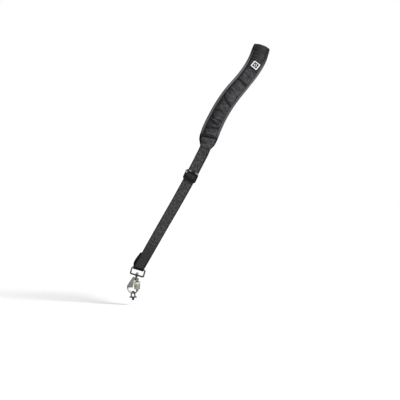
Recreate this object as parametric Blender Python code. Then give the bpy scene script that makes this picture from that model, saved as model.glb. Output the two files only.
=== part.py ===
"""Sling strap for a camera: a closed loop in its worn shape.

The padded shoulder part is at the top of the loop. A webbing run comes down the
front to a wire ring, and a second run goes back up behind. A swivel hook with a
hinged gate and a lock sleeve hangs on the ring, and holds a screw eye.

Sizes are in millimetres; MM turns them into Blender's metres where a mesh is
made. +X is to the right as seen from the front, the front faces -Y, and +Z is
up. The origin is the pad's underside on the crest of the loop.
"""

import math
from collections import namedtuple

import bmesh
import bpy
import numpy as np
from mathutils import Matrix, Vector

MM = 0.001
GAP = 0.3  # the space that touching pieces keep

# The line of the strap's underside from the shoulder's crest to the ring. The
# rear half is the same line with its depth turned round. Slope is the fall of
# the width direction towards +X, in degrees.
Row = namedtuple("Row", "x forward z slope")
ROUTE = (
    Row(0.0, 0.0, 0.0, 19.5),
    Row(-4.0, 34.0, -11.0, 20.0),
    Row(-12.5, 58.0, -33.0, 25.0),
    Row(-28.6, 77.0, -60.0, 34.5),
    Row(-49.4, 88.0, -87.0, 39.5),
    Row(-72.6, 96.0, -115.0, 37.0),
    Row(-91.9, 101.0, -143.0, 31.5),
    Row(-108.0, 103.5, -171.5, 26.0),
    Row(-121.2, 104.0, -200.0, 20.0),
    Row(-128.6, 102.5, -220.0, 18.5),
    Row(-135.6, 99.5, -241.0, 25.0),
    Row(-148.9, 93.5, -268.0, 29.5),
    Row(-174.5, 77.0, -317.0, 29.5),
    Row(-200.0, 57.0, -363.0, 29.5),
    Row(-223.0, 38.5, -403.0, 29.5),
    Row(-245.3, 20.0, -441.5, 29.5),
    Row(-258.9, 9.0, -465.5, 29.5),
    Row(-271.6, 1.9, -488.0, 28.0),
    Row(-281.5, 0.45, -505.5, 22.0),
    Row(-296.2, 0.15, -531.3, 16.0),
)

# Pad, by distance along the strap from the crest.
PAD_FRONT_END = 322.0
PAD_REAR_END = -96.0
PAD_STEP = 7.5
BINDING_REACH = 6.5  # how far a binding's band reaches in from the pad's edge
BINDING_WALL = 1.2
BODY_HALF = 2.9  # half the padded body's thickness
BODY_HALF_AT_END = 1.2
BODY_TAPER = (19.0, 34.0)  # where the thinning at each end starts and stops
PANEL_WALL = 1.3
PANEL_PUFF = 0.9

Width = namedtuple("Width", "along wide")
PAD_WIDTHS = (
    Width(-96.0, 26.0),
    Width(-91.0, 32.0),
    Width(-84.0, 37.5),
    Width(-72.0, 40.5),
    Width(0.0, 40.5),
    Width(60.0, 43.0),
    Width(100.0, 42.0),
    Width(135.0, 41.0),
    Width(170.0, 42.6),
    Width(240.0, 42.8),
    Width(282.0, 44.4),
    Width(298.0, 43.5),
    Width(308.0, 40.0),
    Width(316.0, 32.5),
    Width(322.0, 26.0),
)

# The seam below the label and the lower seam: where they cross the middle, and
# how far they run down the strap for each millimetre to the right.
Seam = namedtuple("Seam", "along skew")
LABEL_SEAM = Seam(101.6, 0.07)
LOWER_SEAM = Seam(296.0, -0.15)
REAR_SEAM = Seam(-67.0, 0.0)
SEAM_HALF = 0.25

# Creases across the face panel, from one end to the other: distance along the
# strap and across it, with the depth and the half width of the dent.
Crease = namedtuple("Crease", "along_a across_a along_b across_b depth half")
CREASES = (
    Crease(128.5, -14.0, 130.0, -6.0, 0.7, 2.4),
    Crease(141.0, -14.0, 143.5, 12.0, 1.1, 2.4),
    Crease(178.5, 9.5, 179.5, 14.0, 0.8, 2.2),
    Crease(192.0, -14.0, 198.5, -9.0, 1.0, 2.4),
    Crease(198.5, -9.0, 207.5, 14.0, 1.1, 2.4),
    Crease(231.0, -14.0, 228.5, 3.0, 0.9, 2.4),
    Crease(244.0, -12.0, 250.0, -8.5, 0.9, 2.6),
    Crease(250.0, 5.0, 252.5, 14.0, 0.8, 2.2),
    Crease(256.5, -14.0, 261.5, 8.0, 1.1, 2.4),
    Crease(272.0, -2.0, 269.5, 14.0, 0.9, 2.2),
    Crease(274.5, -14.0, 277.0, -6.0, 0.9, 2.4),
)
FACE_STEP = 3.0

LABEL_SIDE = 17.8
LABEL_ALONG = 90.0
LABEL_ACROSS = 2.6
LABEL_THICK = 0.8
LABEL_STEP = 4.4  # size of its mesh's squares
LABEL_TURN = 8.0  # degrees in the panel's plane

TAB_UNDERSIDE = 7.6
TAB_WALL = 1.3
TAB_LONGEST = 26.0
TAB_STEP = 4.4
TAB_INSET_LEFT = 4.2
TAB_INSET_RIGHT = 1.8
TAB_ROUNDING = 8.0  # its corners are drawn in over this length
TAB_MARGIN = 0.3
TAB_CROWN = 0.3
TAB_CROWN_SHARE = 0.2  # of the width, where the crown starts at each side

# Webbing: one inch wide tape.
WEB_WIDE = 25.4
WEB_THICK = 1.6
WEB_STEP = 9.0
WEB_TUCK = 16.0  # how far it reaches in under the tab
REAR_WEB_STOP = 18.0  # the rear run ends this far above the ring's bar

# Height of the tape's middle over the line, by distance past the pad's end.
Lift = namedtuple("Lift", "beyond height")
WEB_LIFTS = (
    Lift(-16.0, 6.5),
    Lift(1.0, 6.5),
    Lift(8.0, 5.0),
    Lift(16.0, 2.6),
    Lift(24.0, 1.1),
    Lift(32.0, 0.8),
)

# Adjuster: a three-bar slider on the front run.
SLIDER_ALONG = 399.5
SLIDER_TURN = 4.0  # degrees in its own plane
SLIDER_LENGTH = 26.0
SLIDER_HALF_WIDE = 16.4
SLIDER_CORNER = 5.0
SLIDER_SLOT_HALF_WIDE = 13.7
SLIDER_BAR = 4.5  # each outer bar, along the strap
SLIDER_UNDER = 1.9
SLIDER_TOP = 5.2
SLIDER_BEVEL = 0.7
SLIDER_RAIL_TOP = 3.0
SLIDER_RAIL_INSET = 0.5
SLIDER_MIDDLE_HALF = 2.2
SLIDER_MIDDLE_TOP = 2.2
SLIDER_RAIL_BOTTOM = 0.1
SLIDER_HUMP = (
    Lift(-8.0, 0.8),
    Lift(-3.0, 3.3),
    Lift(3.0, 3.3),
    Lift(8.0, 0.8),
)

# Ring: a rectangle of round wire, in the webbing's fold.
RING_TILT = 16.0  # the ring's fall towards +X, in degrees
RING_WIRE = 1.9
RING_HALF_WIDE = 16.2
RING_DROP = 16.2  # from the top bar's middle to the bottom bar's
RING_CORNER = 2.2
BOSS_RADIUS = 3.9
BOSS_HALF = 2.3
BOSS_BORE = 1.9

# The fold round the ring's bar, and the tail that is sewn up behind the run.
FOLD_RADIUS = RING_WIRE + GAP + WEB_THICK / 2
TAIL_RISE = 38.5  # the tail's end over the ring's bar
Fold = namedtuple("Fold", "above run tail shift")
FOLD_ROWS = (
    Fold(0.0, 3.0, -3.0, -0.8),
    Fold(4.0, 3.0, -2.85, -2.6),
    Fold(8.0, 2.95, -2.3, -4.8),
    Fold(12.0, 2.85, -1.3, -5.9),
    Fold(18.0, 2.75, -0.3, -6.0),
    Fold(24.0, 2.75, 0.4, -5.5),
    Fold(34.0, 2.75, 0.8, -3.9),
    Fold(38.5, 2.75, 0.8, -3.3),
    Fold(60.0, 0.8, 0.8, -3.3),
)

# Hook: shapes in its own plane, millimetres right of and above the boss.
SHANK = (
    (0.0, -7.2), (1.8, -6.8), (3.1, -5.6), (3.7, -3.9), (3.7, -2.65), (1.5, -2.65),
    (1.5, 2.65), (3.0, 2.65), (3.0, 3.5), (2.3, 4.2), (2.3, 7.5), (0.0, 7.5),
)
PLATE_HALF = 2.9
PLATE = (
    (-9.0, -3.2), (-6.0, -3.7), (-3.2, -4.9), (-0.6, -5.6), (1.5, -6.6),
    (3.2, -8.8), (3.0, -11.5), (0.9, -13.3), (-2.2, -13.0), (-6.8, -13.1),
    (-7.3, -14.0), (-8.9, -28.8), (-9.9, -29.8), (-22.4, -29.8),
    (-24.3, -28.2), (-24.0, -26.0), (-16.6, -14.2),
)
BOW_RADIUS = 1.8
BOW = (
    (-22.1, -26.5), (-21.9, -31.0), (-20.3, -36.0), (-16.8, -40.4),
    (-12.9, -42.7), (-9.0, -43.2), (-5.2, -42.8), (-1.7, -41.2), (0.5, -38.6),
    (0.9, -36.8),
)
STUB_RADIUS = 3.2
STUB_TOP = -35.9
STUB_BOTTOM = -38.6

PIVOT = (0.9, -10.2)
CHEEK_RADIUS = 3.9
CHEEK_HALF = 3.4
CHEEK_SLOT_HALF = 2.0
CHEEK_SLOT_RADIUS = 4.3
PIN_RADIUS = 1.2
PIN_HALF = 3.9
KNUCKLE_RADIUS = 3.6
KNUCKLE_HALF = 1.7
KNUCKLE_BORE = 1.55
GATE_RADIUS = 3.2
GATE_NECK_HALF = 2.4
GATE_TOP = 4.4  # below the pivot
GATE_END = 25.4

SLEEVE_TOP = 4.6  # below the pivot
SLEEVE_SHOULDER = 2.2  # how far the cone at its top reaches in and down
SLEEVE_END = 23.8
SLEEVE_RADIUS = 7.2
SLEEVE_BORE = 3.6
SLEEVE_CHAMFER = 0.8
SLEEVE_GROOVE = (9.2, 10.6)
SLEEVE_GROOVE_DEPTH = 0.5

# Screw eye: a bent wire on a flange, turned on its own axis.
EYE_TURN = 40.0
EYE_RADIUS = 7.0
EYE_WIRE = 1.6
EYE_CLEAR = 0.45
EYE_AT = (-9.0, -43.2)
FLANGE_TOP = 8.2  # below the bow's wire
FLANGE_THICK = 2.8
FLANGE_RADIUS = 9.0
SCREW_RADIUS = 3.1
SCREW_LENGTH = 6.0

ROUND = 14  # sides of a turned piece
WIRE_ROUND = 10

CLOTH_DARK = (0.030, 0.029, 0.033)
CLOTH_FACE = (0.038, 0.036, 0.041)
TAPE = (0.036, 0.036, 0.038)
LABEL_WHITE = (0.86, 0.86, 0.85)
PLASTIC = (0.012, 0.012, 0.013)
NICKEL = (0.52, 0.51, 0.49)
SLEEVE_METAL = (0.66, 0.65, 0.58)
STUD_METAL = (0.035, 0.034, 0.036)


def clear_scene():
    for obj in list(bpy.data.objects):
        bpy.data.objects.remove(obj, do_unlink=True)


def material(name, colour, roughness, metallic=0.0):
    made = bpy.data.materials.new(name)
    made.use_nodes = True
    shader = made.node_tree.nodes["Principled BSDF"]
    shader.inputs["Base Color"].default_value = (*colour, 1.0)
    shader.inputs["Roughness"].default_value = roughness
    shader.inputs["Metallic"].default_value = metallic
    made.diffuse_color = (*colour, 1.0)
    return made


# ---------------------------------------------------------------- the line


class StrapLine:
    """A smooth curve through the route's rows, read by distance from the crest."""

    def __init__(self, rows):
        rear = [(row.x, row.forward, row.z, row.slope) for row in reversed(rows[1:])]
        front = [(row.x, -row.forward, row.z, row.slope) for row in rows]
        self.rows = np.array(rear + front)
        chord = np.linalg.norm(np.diff(self.rows[:, :3], axis=0), axis=1)
        self.knots = np.concatenate([[0.0], np.cumsum(chord)])
        rise = np.diff(self.rows, axis=0) / chord[:, None]
        self.tangents = np.empty_like(self.rows)
        self.tangents[0] = rise[0]
        self.tangents[-1] = rise[-1]
        before = chord[:-1, None]
        after = chord[1:, None]
        self.tangents[1:-1] = (rise[:-1] * after + rise[1:] * before) / (before + after)
        fine = np.linspace(0.0, self.knots[-1], 4001)
        places = self.read(fine)[:, :3]
        steps = np.linalg.norm(np.diff(places, axis=0), axis=1)
        run = np.concatenate([[0.0], np.cumsum(steps)])
        self.fine = fine
        self.distance = run - np.interp(self.knots[len(rear)], fine, run)
        self.end = self.distance[-1]

    def read(self, knot):
        knot = np.atleast_1d(knot)
        left = np.clip(np.searchsorted(self.knots, knot, side="right") - 1, 0, len(self.knots) - 2)
        span = (self.knots[left + 1] - self.knots[left])[:, None]
        t = (knot - self.knots[left])[:, None] / span
        return (
            (2 * t**3 - 3 * t**2 + 1) * self.rows[left]
            + (t**3 - 2 * t**2 + t) * span * self.tangents[left]
            + (3 * t**2 - 2 * t**3) * self.rows[left + 1]
            + (t**3 - t**2) * span * self.tangents[left + 1]
        )

    def row_at(self, along):
        return self.read(np.interp(along, self.distance, self.fine))[0]

    def frame(self, along):
        """Point, width direction and outward direction at a distance from the crest."""
        here = self.row_at(along)
        ahead = self.row_at(min(along + 0.5, self.end))[:3]
        behind = self.row_at(max(along - 0.5, -self.end))[:3]
        slope = math.radians(here[3])
        across = np.array([math.cos(slope), 0.0, -math.sin(slope)])
        outward = np.cross(ahead - behind, across)
        return here[:3], across, outward / np.linalg.norm(outward)

    def point(self, along, across, height):
        place, width, outward = self.frame(along)
        return place + width * across + outward * height


LINE = StrapLine(ROUTE)
DOWN_RING = np.array(
    [-math.sin(math.radians(RING_TILT)), 0.0, -math.cos(math.radians(RING_TILT))]
)
ALONG_BAR = np.array(
    [math.cos(math.radians(RING_TILT)), 0.0, -math.sin(math.radians(RING_TILT))]
)
FRONT = np.array([0.0, -1.0, 0.0])
RING_BAR = np.array([ROUTE[-1].x, 0.0, ROUTE[-1].z])
BOSS = RING_BAR + DOWN_RING * RING_DROP


def smooth(value, low, high):
    """0 below low, 1 above high, with a soft change between."""
    t = min(max((value - low) / (high - low), 0.0), 1.0)
    return t * t * (3 - 2 * t)


def read_rows(rows, value):
    """The rows' second column where their first column has this value."""
    return float(np.interp(value, [row[0] for row in rows], [row[1] for row in rows]))


def steps(low, high, size):
    return np.linspace(low, high, max(2, round((high - low) / size) + 1))


# ---------------------------------------------------------------- mesh making


def loft(rings, closed=False):
    """A closed skin over rings of equal length, capped at both ends or joined up."""
    mesh = bmesh.new()
    rows = [[mesh.verts.new(Vector(point)) for point in ring] for ring in rings]
    pairs = list(zip(rows, rows[1:]))
    if closed:
        pairs.append((rows[-1], rows[0]))
    for first, second in pairs:
        for i, corner in enumerate(first):
            j = (i + 1) % len(first)
            mesh.faces.new((corner, first[j], second[j], second[i]))
    if not closed:
        mesh.faces.new(rows[0])
        mesh.faces.new(rows[-1])
    bmesh.ops.recalc_face_normals(mesh, faces=mesh.faces)
    return mesh


def turned(profile, sides=ROUND, bore=False):
    """A profile of (radius, height) turned about Z, closed on the axis or as a ring."""
    mesh = bmesh.new()
    rows = []
    for radius, height in profile:
        if radius == 0.0:
            rows.append([mesh.verts.new((0.0, 0.0, height))] * sides)
            continue
        turn = [math.tau * k / sides for k in range(sides)]
        row = [mesh.verts.new((radius * math.cos(a), radius * math.sin(a), height)) for a in turn]
        rows.append(row)
    pairs = list(zip(rows, rows[1:]))
    if bore:
        pairs.append((rows[-1], rows[0]))
    for low, high in pairs:
        for i in range(sides):
            j = (i + 1) % sides
            corners = dict.fromkeys((low[i], low[j], high[j], high[i]))
            if len(corners) > 2:
                mesh.faces.new(tuple(corners))
    bmesh.ops.recalc_face_normals(mesh, faces=mesh.faces)
    return mesh


def cylinder(radius, low, high, sides=ROUND):
    return turned([(0.0, low), (radius, low), (radius, high), (0.0, high)], sides)


def box(low, high):
    mesh = bmesh.new()
    bmesh.ops.create_cube(mesh, size=1.0)
    size = Vector(high) - Vector(low)
    middle = (Vector(high) + Vector(low)) / 2
    for vertex in mesh.verts:
        vertex.co = Vector(a * b for a, b in zip(vertex.co, size)) + middle
    return mesh


def slab(outline, half):
    """An outline of (x, z) points given a thickness along Y."""
    front = [(x, -half, z) for x, z in outline]
    back = [(x, half, z) for x, z in outline]
    return loft([front, back])


def tube(points, radius, sides=WIRE_ROUND, closed=False):
    """Round wire along points; each ring of the skin is square to the wire."""
    points = [np.array(point, float) for point in points]
    count = len(points)
    rings = []
    side = None
    for i, point in enumerate(points):
        after = points[(i + 1) % count] if closed or i + 1 < count else point
        before = points[i - 1] if closed or i else point
        forward = after - before
        forward /= np.linalg.norm(forward)
        if side is None:
            side = np.cross(forward, FRONT)
        side = side - forward * side.dot(forward)
        side /= np.linalg.norm(side)
        other = np.cross(forward, side)
        turn = [math.tau * (k + 0.5) / sides for k in range(sides)]
        rings.append([point + radius * (side * math.cos(a) + other * math.sin(a)) for a in turn])
    return loft(rings, closed)


def moved(mesh, matrix):
    mesh.transform(matrix)
    return mesh


def axes(x_axis, y_axis, z_axis, origin=(0.0, 0.0, 0.0)):
    """The matrix that takes X, Y and Z to the three given directions."""
    turn = Matrix((Vector(x_axis), Vector(y_axis), Vector(z_axis))).transposed()
    return Matrix.Translation(Vector(origin)) @ turn.to_4x4()


def combined(first, *changes):
    """A mesh after exact unions and cuts with others, each an (operation, mesh) pair."""
    made = []
    for mesh in (first, *(change[1] for change in changes)):
        data = bpy.data.meshes.new("block")
        mesh.to_mesh(data)
        mesh.free()
        block = bpy.data.objects.new("block", data)
        bpy.context.scene.collection.objects.link(block)
        made.append(block)
    for (operation, _), block in zip(changes, made[1:]):
        step = made[0].modifiers.new(operation, "BOOLEAN")
        step.operation = operation
        step.solver = "EXACT"
        step.object = block
    bpy.context.view_layer.update()
    graph = bpy.context.evaluated_depsgraph_get()
    result = bmesh.new()
    result.from_mesh(made[0].evaluated_get(graph).to_mesh())
    for block in made:
        bpy.data.objects.remove(block, do_unlink=True)
    return result


def put(name, mesh, finish, origin=(0.0, 0.0, 0.0), parent=None):
    """A named object from a mesh in millimetres, with its origin at a place in the world."""
    place = Vector(origin)
    mesh.transform(Matrix.Scale(MM, 4) @ Matrix.Translation(-place))
    data = bpy.data.meshes.new(name)
    mesh.to_mesh(data)
    mesh.free()
    data.materials.append(finish)
    data.shade_smooth()
    data.set_sharp_from_angle(angle=math.radians(40))
    obj = bpy.data.objects.new(name, data)
    bpy.context.scene.collection.objects.link(obj)
    obj["place"] = place * MM
    obj.location = place * MM
    if parent is not None:
        obj.parent = parent
        obj.location = place * MM - Vector(parent["place"])
    return obj


# ---------------------------------------------------------------- the pad


def pad_half_width(along):
    return read_rows(PAD_WIDTHS, along) / 2


def from_pad_end(along):
    return min(PAD_FRONT_END - along, along - PAD_REAR_END)


def body_half(along):
    full = smooth(from_pad_end(along), *BODY_TAPER)
    return BODY_HALF_AT_END + (BODY_HALF - BODY_HALF_AT_END) * full


def body_middle(along):
    """Height of the padded body's middle, so that a binding's underside is at zero."""
    return body_half(along) + GAP + BINDING_WALL


def binding_inner_edge(along):
    return pad_half_width(along) - BINDING_REACH


def edge_arc(along, grow, degrees):
    """Points round the pad's right edge, at a distance outside the padded body."""
    reach = BINDING_REACH - GAP - BINDING_WALL + grow
    rise = body_half(along) + grow
    start = binding_inner_edge(along)
    middle = body_middle(along)
    turns = [math.radians(angle) for angle in degrees]
    return [(start + reach * math.cos(a), middle + rise * math.sin(a)) for a in turns]


def shoulder_pad():
    rings = []
    for along in steps(PAD_REAR_END, PAD_FRONT_END, PAD_STEP):
        right = edge_arc(along, 0.0, (-90, -45, 0, 45, 90))
        left = [(-across, height) for across, height in reversed(right)]
        rings.append([LINE.point(along, across, height) for across, height in right + left])
    return loft(rings)


def edge_binding(side):
    outer_turns = (-90, -54, -18, 18, 54, 90)
    inner_turns = (90, 45, 0, -45, -90)
    rings = []
    for along in steps(PAD_REAR_END, PAD_FRONT_END, PAD_STEP):
        outer = edge_arc(along, GAP + BINDING_WALL, outer_turns)
        inner = edge_arc(along, GAP, inner_turns)
        section = outer + inner
        rings.append([LINE.point(along, side * across, height) for across, height in section])
    return loft(rings)


def panel_half_width(along):
    return binding_inner_edge(along) - GAP


def panel_underside(along):
    return body_middle(along) + body_half(along) + GAP


def panel_top(along, across):
    """The panel's outer face: a soft crown between its two long edges."""
    share = across / panel_half_width(along)
    return panel_underside(along) + PANEL_WALL + PANEL_PUFF * max(0.0, 1 - share * share)


def crease_depth(along, across):
    """How far the creases dent the face panel at a place."""
    deepest = 0.0
    for crease in CREASES:
        start = np.array([crease.along_a, crease.across_a])
        run = np.array([crease.along_b, crease.across_b]) - start
        here = np.array([along, across]) - start
        share = min(max(here.dot(run) / run.dot(run), 0.0), 1.0)
        away = np.linalg.norm(here - run * share)
        deepest = max(deepest, crease.depth * math.exp(-((away / crease.half) ** 2)))
    return deepest


def panel(first, last, step, creased):
    """A panel between two seams, which lies on the padded body between the bindings."""
    shares = (-1.0, -0.82, -0.5, -0.17, 0.17, 0.5, 0.82, 1.0)
    count = len(steps(first.along, last.along, step))
    rings = []
    for k in range(count):
        part = k / (count - 1)
        middle = first.along + SEAM_HALF + (last.along - first.along - 2 * SEAM_HALF) * part
        skew = first.skew * (1 - part) ** 8 + last.skew * part**8
        half = panel_half_width(middle)
        top = []
        for share in shares:
            across = share * half
            along = middle + skew * across
            height = panel_top(along, share * panel_half_width(along))
            if creased:
                height -= crease_depth(along, across)
            top.append(LINE.point(along, across, height))
        under = []
        for share in (1.0, 0.0, -1.0):
            across = share * half
            along = middle + skew * across
            under.append(LINE.point(along, across, panel_underside(along)))
        rings.append(top + under)
    return loft(rings)


def end_tab(end, seam):
    """The tab that closes one end of the pad over the webbing, up to the panel's seam."""
    length = min(TAB_LONGEST, abs(end - seam.along) - SEAM_HALF)
    inward = 1 if seam.along > end else -1
    rings = []
    for back in steps(0.0, length, TAB_STEP):
        along = end + inward * back
        skew = seam.skew * (back / length) ** 4
        half = pad_half_width(along)
        inset = smooth(back, 0.0, TAB_ROUNDING)
        left = -half + TAB_INSET_LEFT * inset + TAB_MARGIN
        right = half - TAB_INSET_RIGHT * inset - TAB_MARGIN
        shoulder = (right - left) * TAB_CROWN_SHARE
        top = TAB_UNDERSIDE + TAB_WALL
        section = (
            (left, TAB_UNDERSIDE), (right, TAB_UNDERSIDE), (right, top),
            (right - shoulder, top + TAB_CROWN), (left + shoulder, top + TAB_CROWN), (left, top),
        )
        rings.append([LINE.point(along + skew * a, a, height) for a, height in section])
    return loft(rings)


def label():
    """The sewn square, turned a little on the panel and bent to its crown."""
    half = LABEL_SIDE / 2
    turn = math.radians(LABEL_TURN)
    rings = []
    for down in steps(-half, half, LABEL_STEP):
        under = []
        for right in steps(-half, half, LABEL_STEP):
            along = LABEL_ALONG + down * math.cos(turn) + right * math.sin(turn)
            across = LABEL_ACROSS + right * math.cos(turn) - down * math.sin(turn)
            under.append((along, across, panel_top(along, across) + GAP))
        top = [(along, across, height + LABEL_THICK) for along, across, height in reversed(under)]
        rings.append([LINE.point(*place) for place in under + top])
    return loft(rings)


# ---------------------------------------------------------------- the webbing


def tape(frames):
    """Webbing through frames, each its middle, its width direction and its outward side."""
    half_wide = WEB_WIDE / 2
    half_thick = WEB_THICK / 2
    corners = ((-1, -1), (1, -1), (1, 1), (-1, 1))
    rings = []
    for middle, across, outward in frames:
        ring = []
        for side, face in corners:
            ring.append(middle + across * half_wide * side + outward * half_thick * face)
        rings.append(ring)
    return loft(rings)


def fold_row(above):
    """Heights of the run and the tail, and the tail's shift, at a distance above the bar."""
    places = [row.above for row in FOLD_ROWS]
    return [float(np.interp(above, places, [row[k] for row in FOLD_ROWS])) for k in (1, 2, 3)]


def run_height(along):
    """Height of the front run's middle: pad end, slider and fold each lift or lower it."""
    beside_slider = along - SLIDER_ALONG
    if abs(beside_slider) < SLIDER_LENGTH / 2:
        return read_rows(SLIDER_HUMP, beside_slider)
    above = LINE.end - along
    if above < FOLD_ROWS[-1].above:
        return fold_row(above)[0]
    return read_rows(WEB_LIFTS, along - PAD_FRONT_END)


def webbing_front():
    slider_places = [SLIDER_ALONG + offset for offset in (-13, -8, -3, 3, 8, 13)]
    folded = [LINE.end - row.above for row in FOLD_ROWS]
    first = PAD_FRONT_END - WEB_TUCK
    places = sorted(
        [*steps(first, slider_places[0] - 6, WEB_STEP), *slider_places]
        + [*steps(slider_places[-1] + 6, folded[-1] - 6, WEB_STEP), *folded]
    )
    frames = []
    for along in places:
        place, across, outward = LINE.frame(along)
        frames.append((place + outward * run_height(along), across, outward))
    for degrees in (22.5, 45, 67.5, 90, 112.5, 135, 157.5):
        turn = math.radians(degrees)
        radial = FRONT * math.cos(turn) + DOWN_RING * math.sin(turn)
        shift = FOLD_ROWS[0].shift * degrees / 180
        frames.append((RING_BAR + radial * FOLD_RADIUS + ALONG_BAR * shift, ALONG_BAR, radial))
    tail = [row.above for row in FOLD_ROWS if row.above < TAIL_RISE - 1]
    for above in (*tail, TAIL_RISE):
        place, across, outward = LINE.frame(LINE.end - above)
        _, height, shift = fold_row(above)
        frames.append((place + outward * height + across * shift, across, -outward))
    return tape(frames)


def webbing_rear():
    folded = [row.above - LINE.end for row in FOLD_ROWS if row.above >= REAR_WEB_STOP]
    first = PAD_REAR_END + WEB_TUCK
    places = [*steps(first, folded[-1] + 6, -WEB_STEP), *reversed(folded)]
    frames = []
    for along in places:
        place, across, outward = LINE.frame(along)
        height = read_rows(WEB_LIFTS, PAD_REAR_END - along)
        tail = fold_row(LINE.end + along)[1]
        height += max(0.0, WEB_THICK / 2 - tail)
        frames.append((place + outward * height, across, outward))
    return tape(frames)


# ---------------------------------------------------------------- the slider


def rounded_outline(half_wide, half_long, radius, sides=4):
    """A rectangle with round corners, as (x, y) points."""
    points = []
    for quarter in range(4):
        start = quarter * math.pi / 2
        across = (half_wide - radius) * (1, -1, -1, 1)[quarter]
        up = (half_long - radius) * (1, 1, -1, -1)[quarter]
        for k in range(sides + 1):
            turn = start + k * math.pi / 2 / sides
            points.append((across + radius * math.cos(turn), up + radius * math.sin(turn)))
    return points


def slider():
    half_long = SLIDER_LENGTH / 2
    window = half_long - SLIDER_BAR
    outline = rounded_outline(SLIDER_HALF_WIDE, half_long, SLIDER_CORNER)
    bevel = SLIDER_BEVEL
    waist = rounded_outline(SLIDER_HALF_WIDE - bevel, half_long - bevel, SLIDER_CORNER - bevel)
    levels = (
        (waist, SLIDER_UNDER), (outline, SLIDER_UNDER + bevel),
        (outline, SLIDER_TOP - bevel), (waist, SLIDER_TOP),
    )
    plate = loft([[(x, y, height) for x, y in shape] for shape, height in levels])
    low, high = SLIDER_SLOT_HALF_WIDE, SLIDER_HALF_WIDE - SLIDER_RAIL_INSET
    rail_long = half_long - SLIDER_CORNER + 1.0
    bottom, top = SLIDER_RAIL_BOTTOM, SLIDER_RAIL_TOP
    frame = combined(
        plate,
        ("DIFFERENCE", box((-low, -window, 0.0), (low, window, SLIDER_TOP + 1))),
        ("UNION", box((low, -rail_long, bottom), (high, rail_long, top))),
        ("UNION", box((-high, -rail_long, bottom), (-low, rail_long, top))),
        (
            "UNION",
            box(
                (-low - 0.8, -SLIDER_MIDDLE_HALF, bottom + 0.2),
                (low + 0.8, SLIDER_MIDDLE_HALF, SLIDER_MIDDLE_TOP),
            ),
        ),
    )
    place, across, outward = LINE.frame(SLIDER_ALONG)
    up_strap = np.cross(outward, across)
    turn = Matrix.Rotation(math.radians(SLIDER_TURN), 4, "Z")
    return moved(frame, axes(across, up_strap, outward, place) @ turn)


# ---------------------------------------------------------------- the hardware


def ring_place(across, down):
    return RING_BAR + ALONG_BAR * across + DOWN_RING * down


def ring():
    half_drop = RING_DROP / 2
    outline = rounded_outline(RING_HALF_WIDE, half_drop, RING_CORNER, 3)
    wire = tube([ring_place(x, half_drop - y) for x, y in outline], RING_WIRE, closed=True)
    upright = axes(ALONG_BAR, -FRONT, -DOWN_RING, BOSS)
    boss = moved(cylinder(BOSS_RADIUS, -BOSS_HALF, BOSS_HALF), upright)
    bore = moved(cylinder(BOSS_BORE, -BOSS_RADIUS * 2, BOSS_RADIUS), upright)
    return combined(wire, ("UNION", boss), ("DIFFERENCE", bore))


def in_hook(x, z, y=0.0):
    return BOSS + np.array([x, y, z])


HOOK_PLACE = Matrix.Translation(Vector(BOSS))
PIVOT_PLACE = Matrix.Translation(Vector(in_hook(*PIVOT)))
ALONG_Y = Matrix.Rotation(math.radians(90), 4, "X")


def across_hook(radius, half, sides=ROUND):
    """A round bar through the hook's plane, at the gate's pivot."""
    return moved(cylinder(radius, -half, half, sides), PIVOT_PLACE @ ALONG_Y)


def smooth_points(points, parts):
    """A smooth curve through points, with a few places on each stretch."""
    rows = [np.array(point, float) for point in points]
    rows = [2 * rows[0] - rows[1], *rows, 2 * rows[-1] - rows[-2]]
    made = []
    for before, start, end, after in zip(rows, rows[1:], rows[2:], rows[3:]):
        for k in range(parts):
            t = k / parts
            curve = (
                2 * start
                + (end - before) * t
                + (2 * before - 5 * start + 4 * end - after) * t**2
                + (3 * start - before - 3 * end + after) * t**3
            )
            made.append(curve / 2)
    made.append(rows[-2])
    return made


def swivel_hook():
    shank = turned([(radius, -down) for radius, down in SHANK])
    shank = moved(shank, axes(ALONG_BAR, -FRONT, -DOWN_RING, BOSS))
    plate = moved(slab(PLATE, PLATE_HALF), HOOK_PLACE)
    bow = tube([in_hook(x, z) for x, z in smooth_points(BOW, 2)], BOW_RADIUS)
    stub = moved(cylinder(STUB_RADIUS, STUB_BOTTOM, STUB_TOP), HOOK_PLACE)
    stub.transform(Matrix.Translation((PIVOT[0], 0.0, 0.0)))
    return combined(
        plate,
        ("UNION", across_hook(CHEEK_RADIUS, CHEEK_HALF)),
        ("UNION", shank),
        ("UNION", bow),
        ("UNION", stub),
        ("DIFFERENCE", across_hook(CHEEK_SLOT_RADIUS, CHEEK_SLOT_HALF)),
        ("UNION", across_hook(PIN_RADIUS, PIN_HALF, 12)),
    )


def gate():
    rod = cylinder(GATE_RADIUS, -GATE_END, -GATE_TOP)
    neck = box(
        (-GATE_NECK_HALF, -KNUCKLE_HALF, -GATE_TOP - 1.0), (GATE_NECK_HALF, KNUCKLE_HALF, -1.0)
    )
    return combined(
        across_hook(KNUCKLE_RADIUS, KNUCKLE_HALF),
        ("UNION", moved(neck, PIVOT_PLACE)),
        ("UNION", moved(rod, PIVOT_PLACE)),
        ("DIFFERENCE", across_hook(KNUCKLE_BORE, KNUCKLE_HALF + 1.0, 12)),
    )


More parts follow.
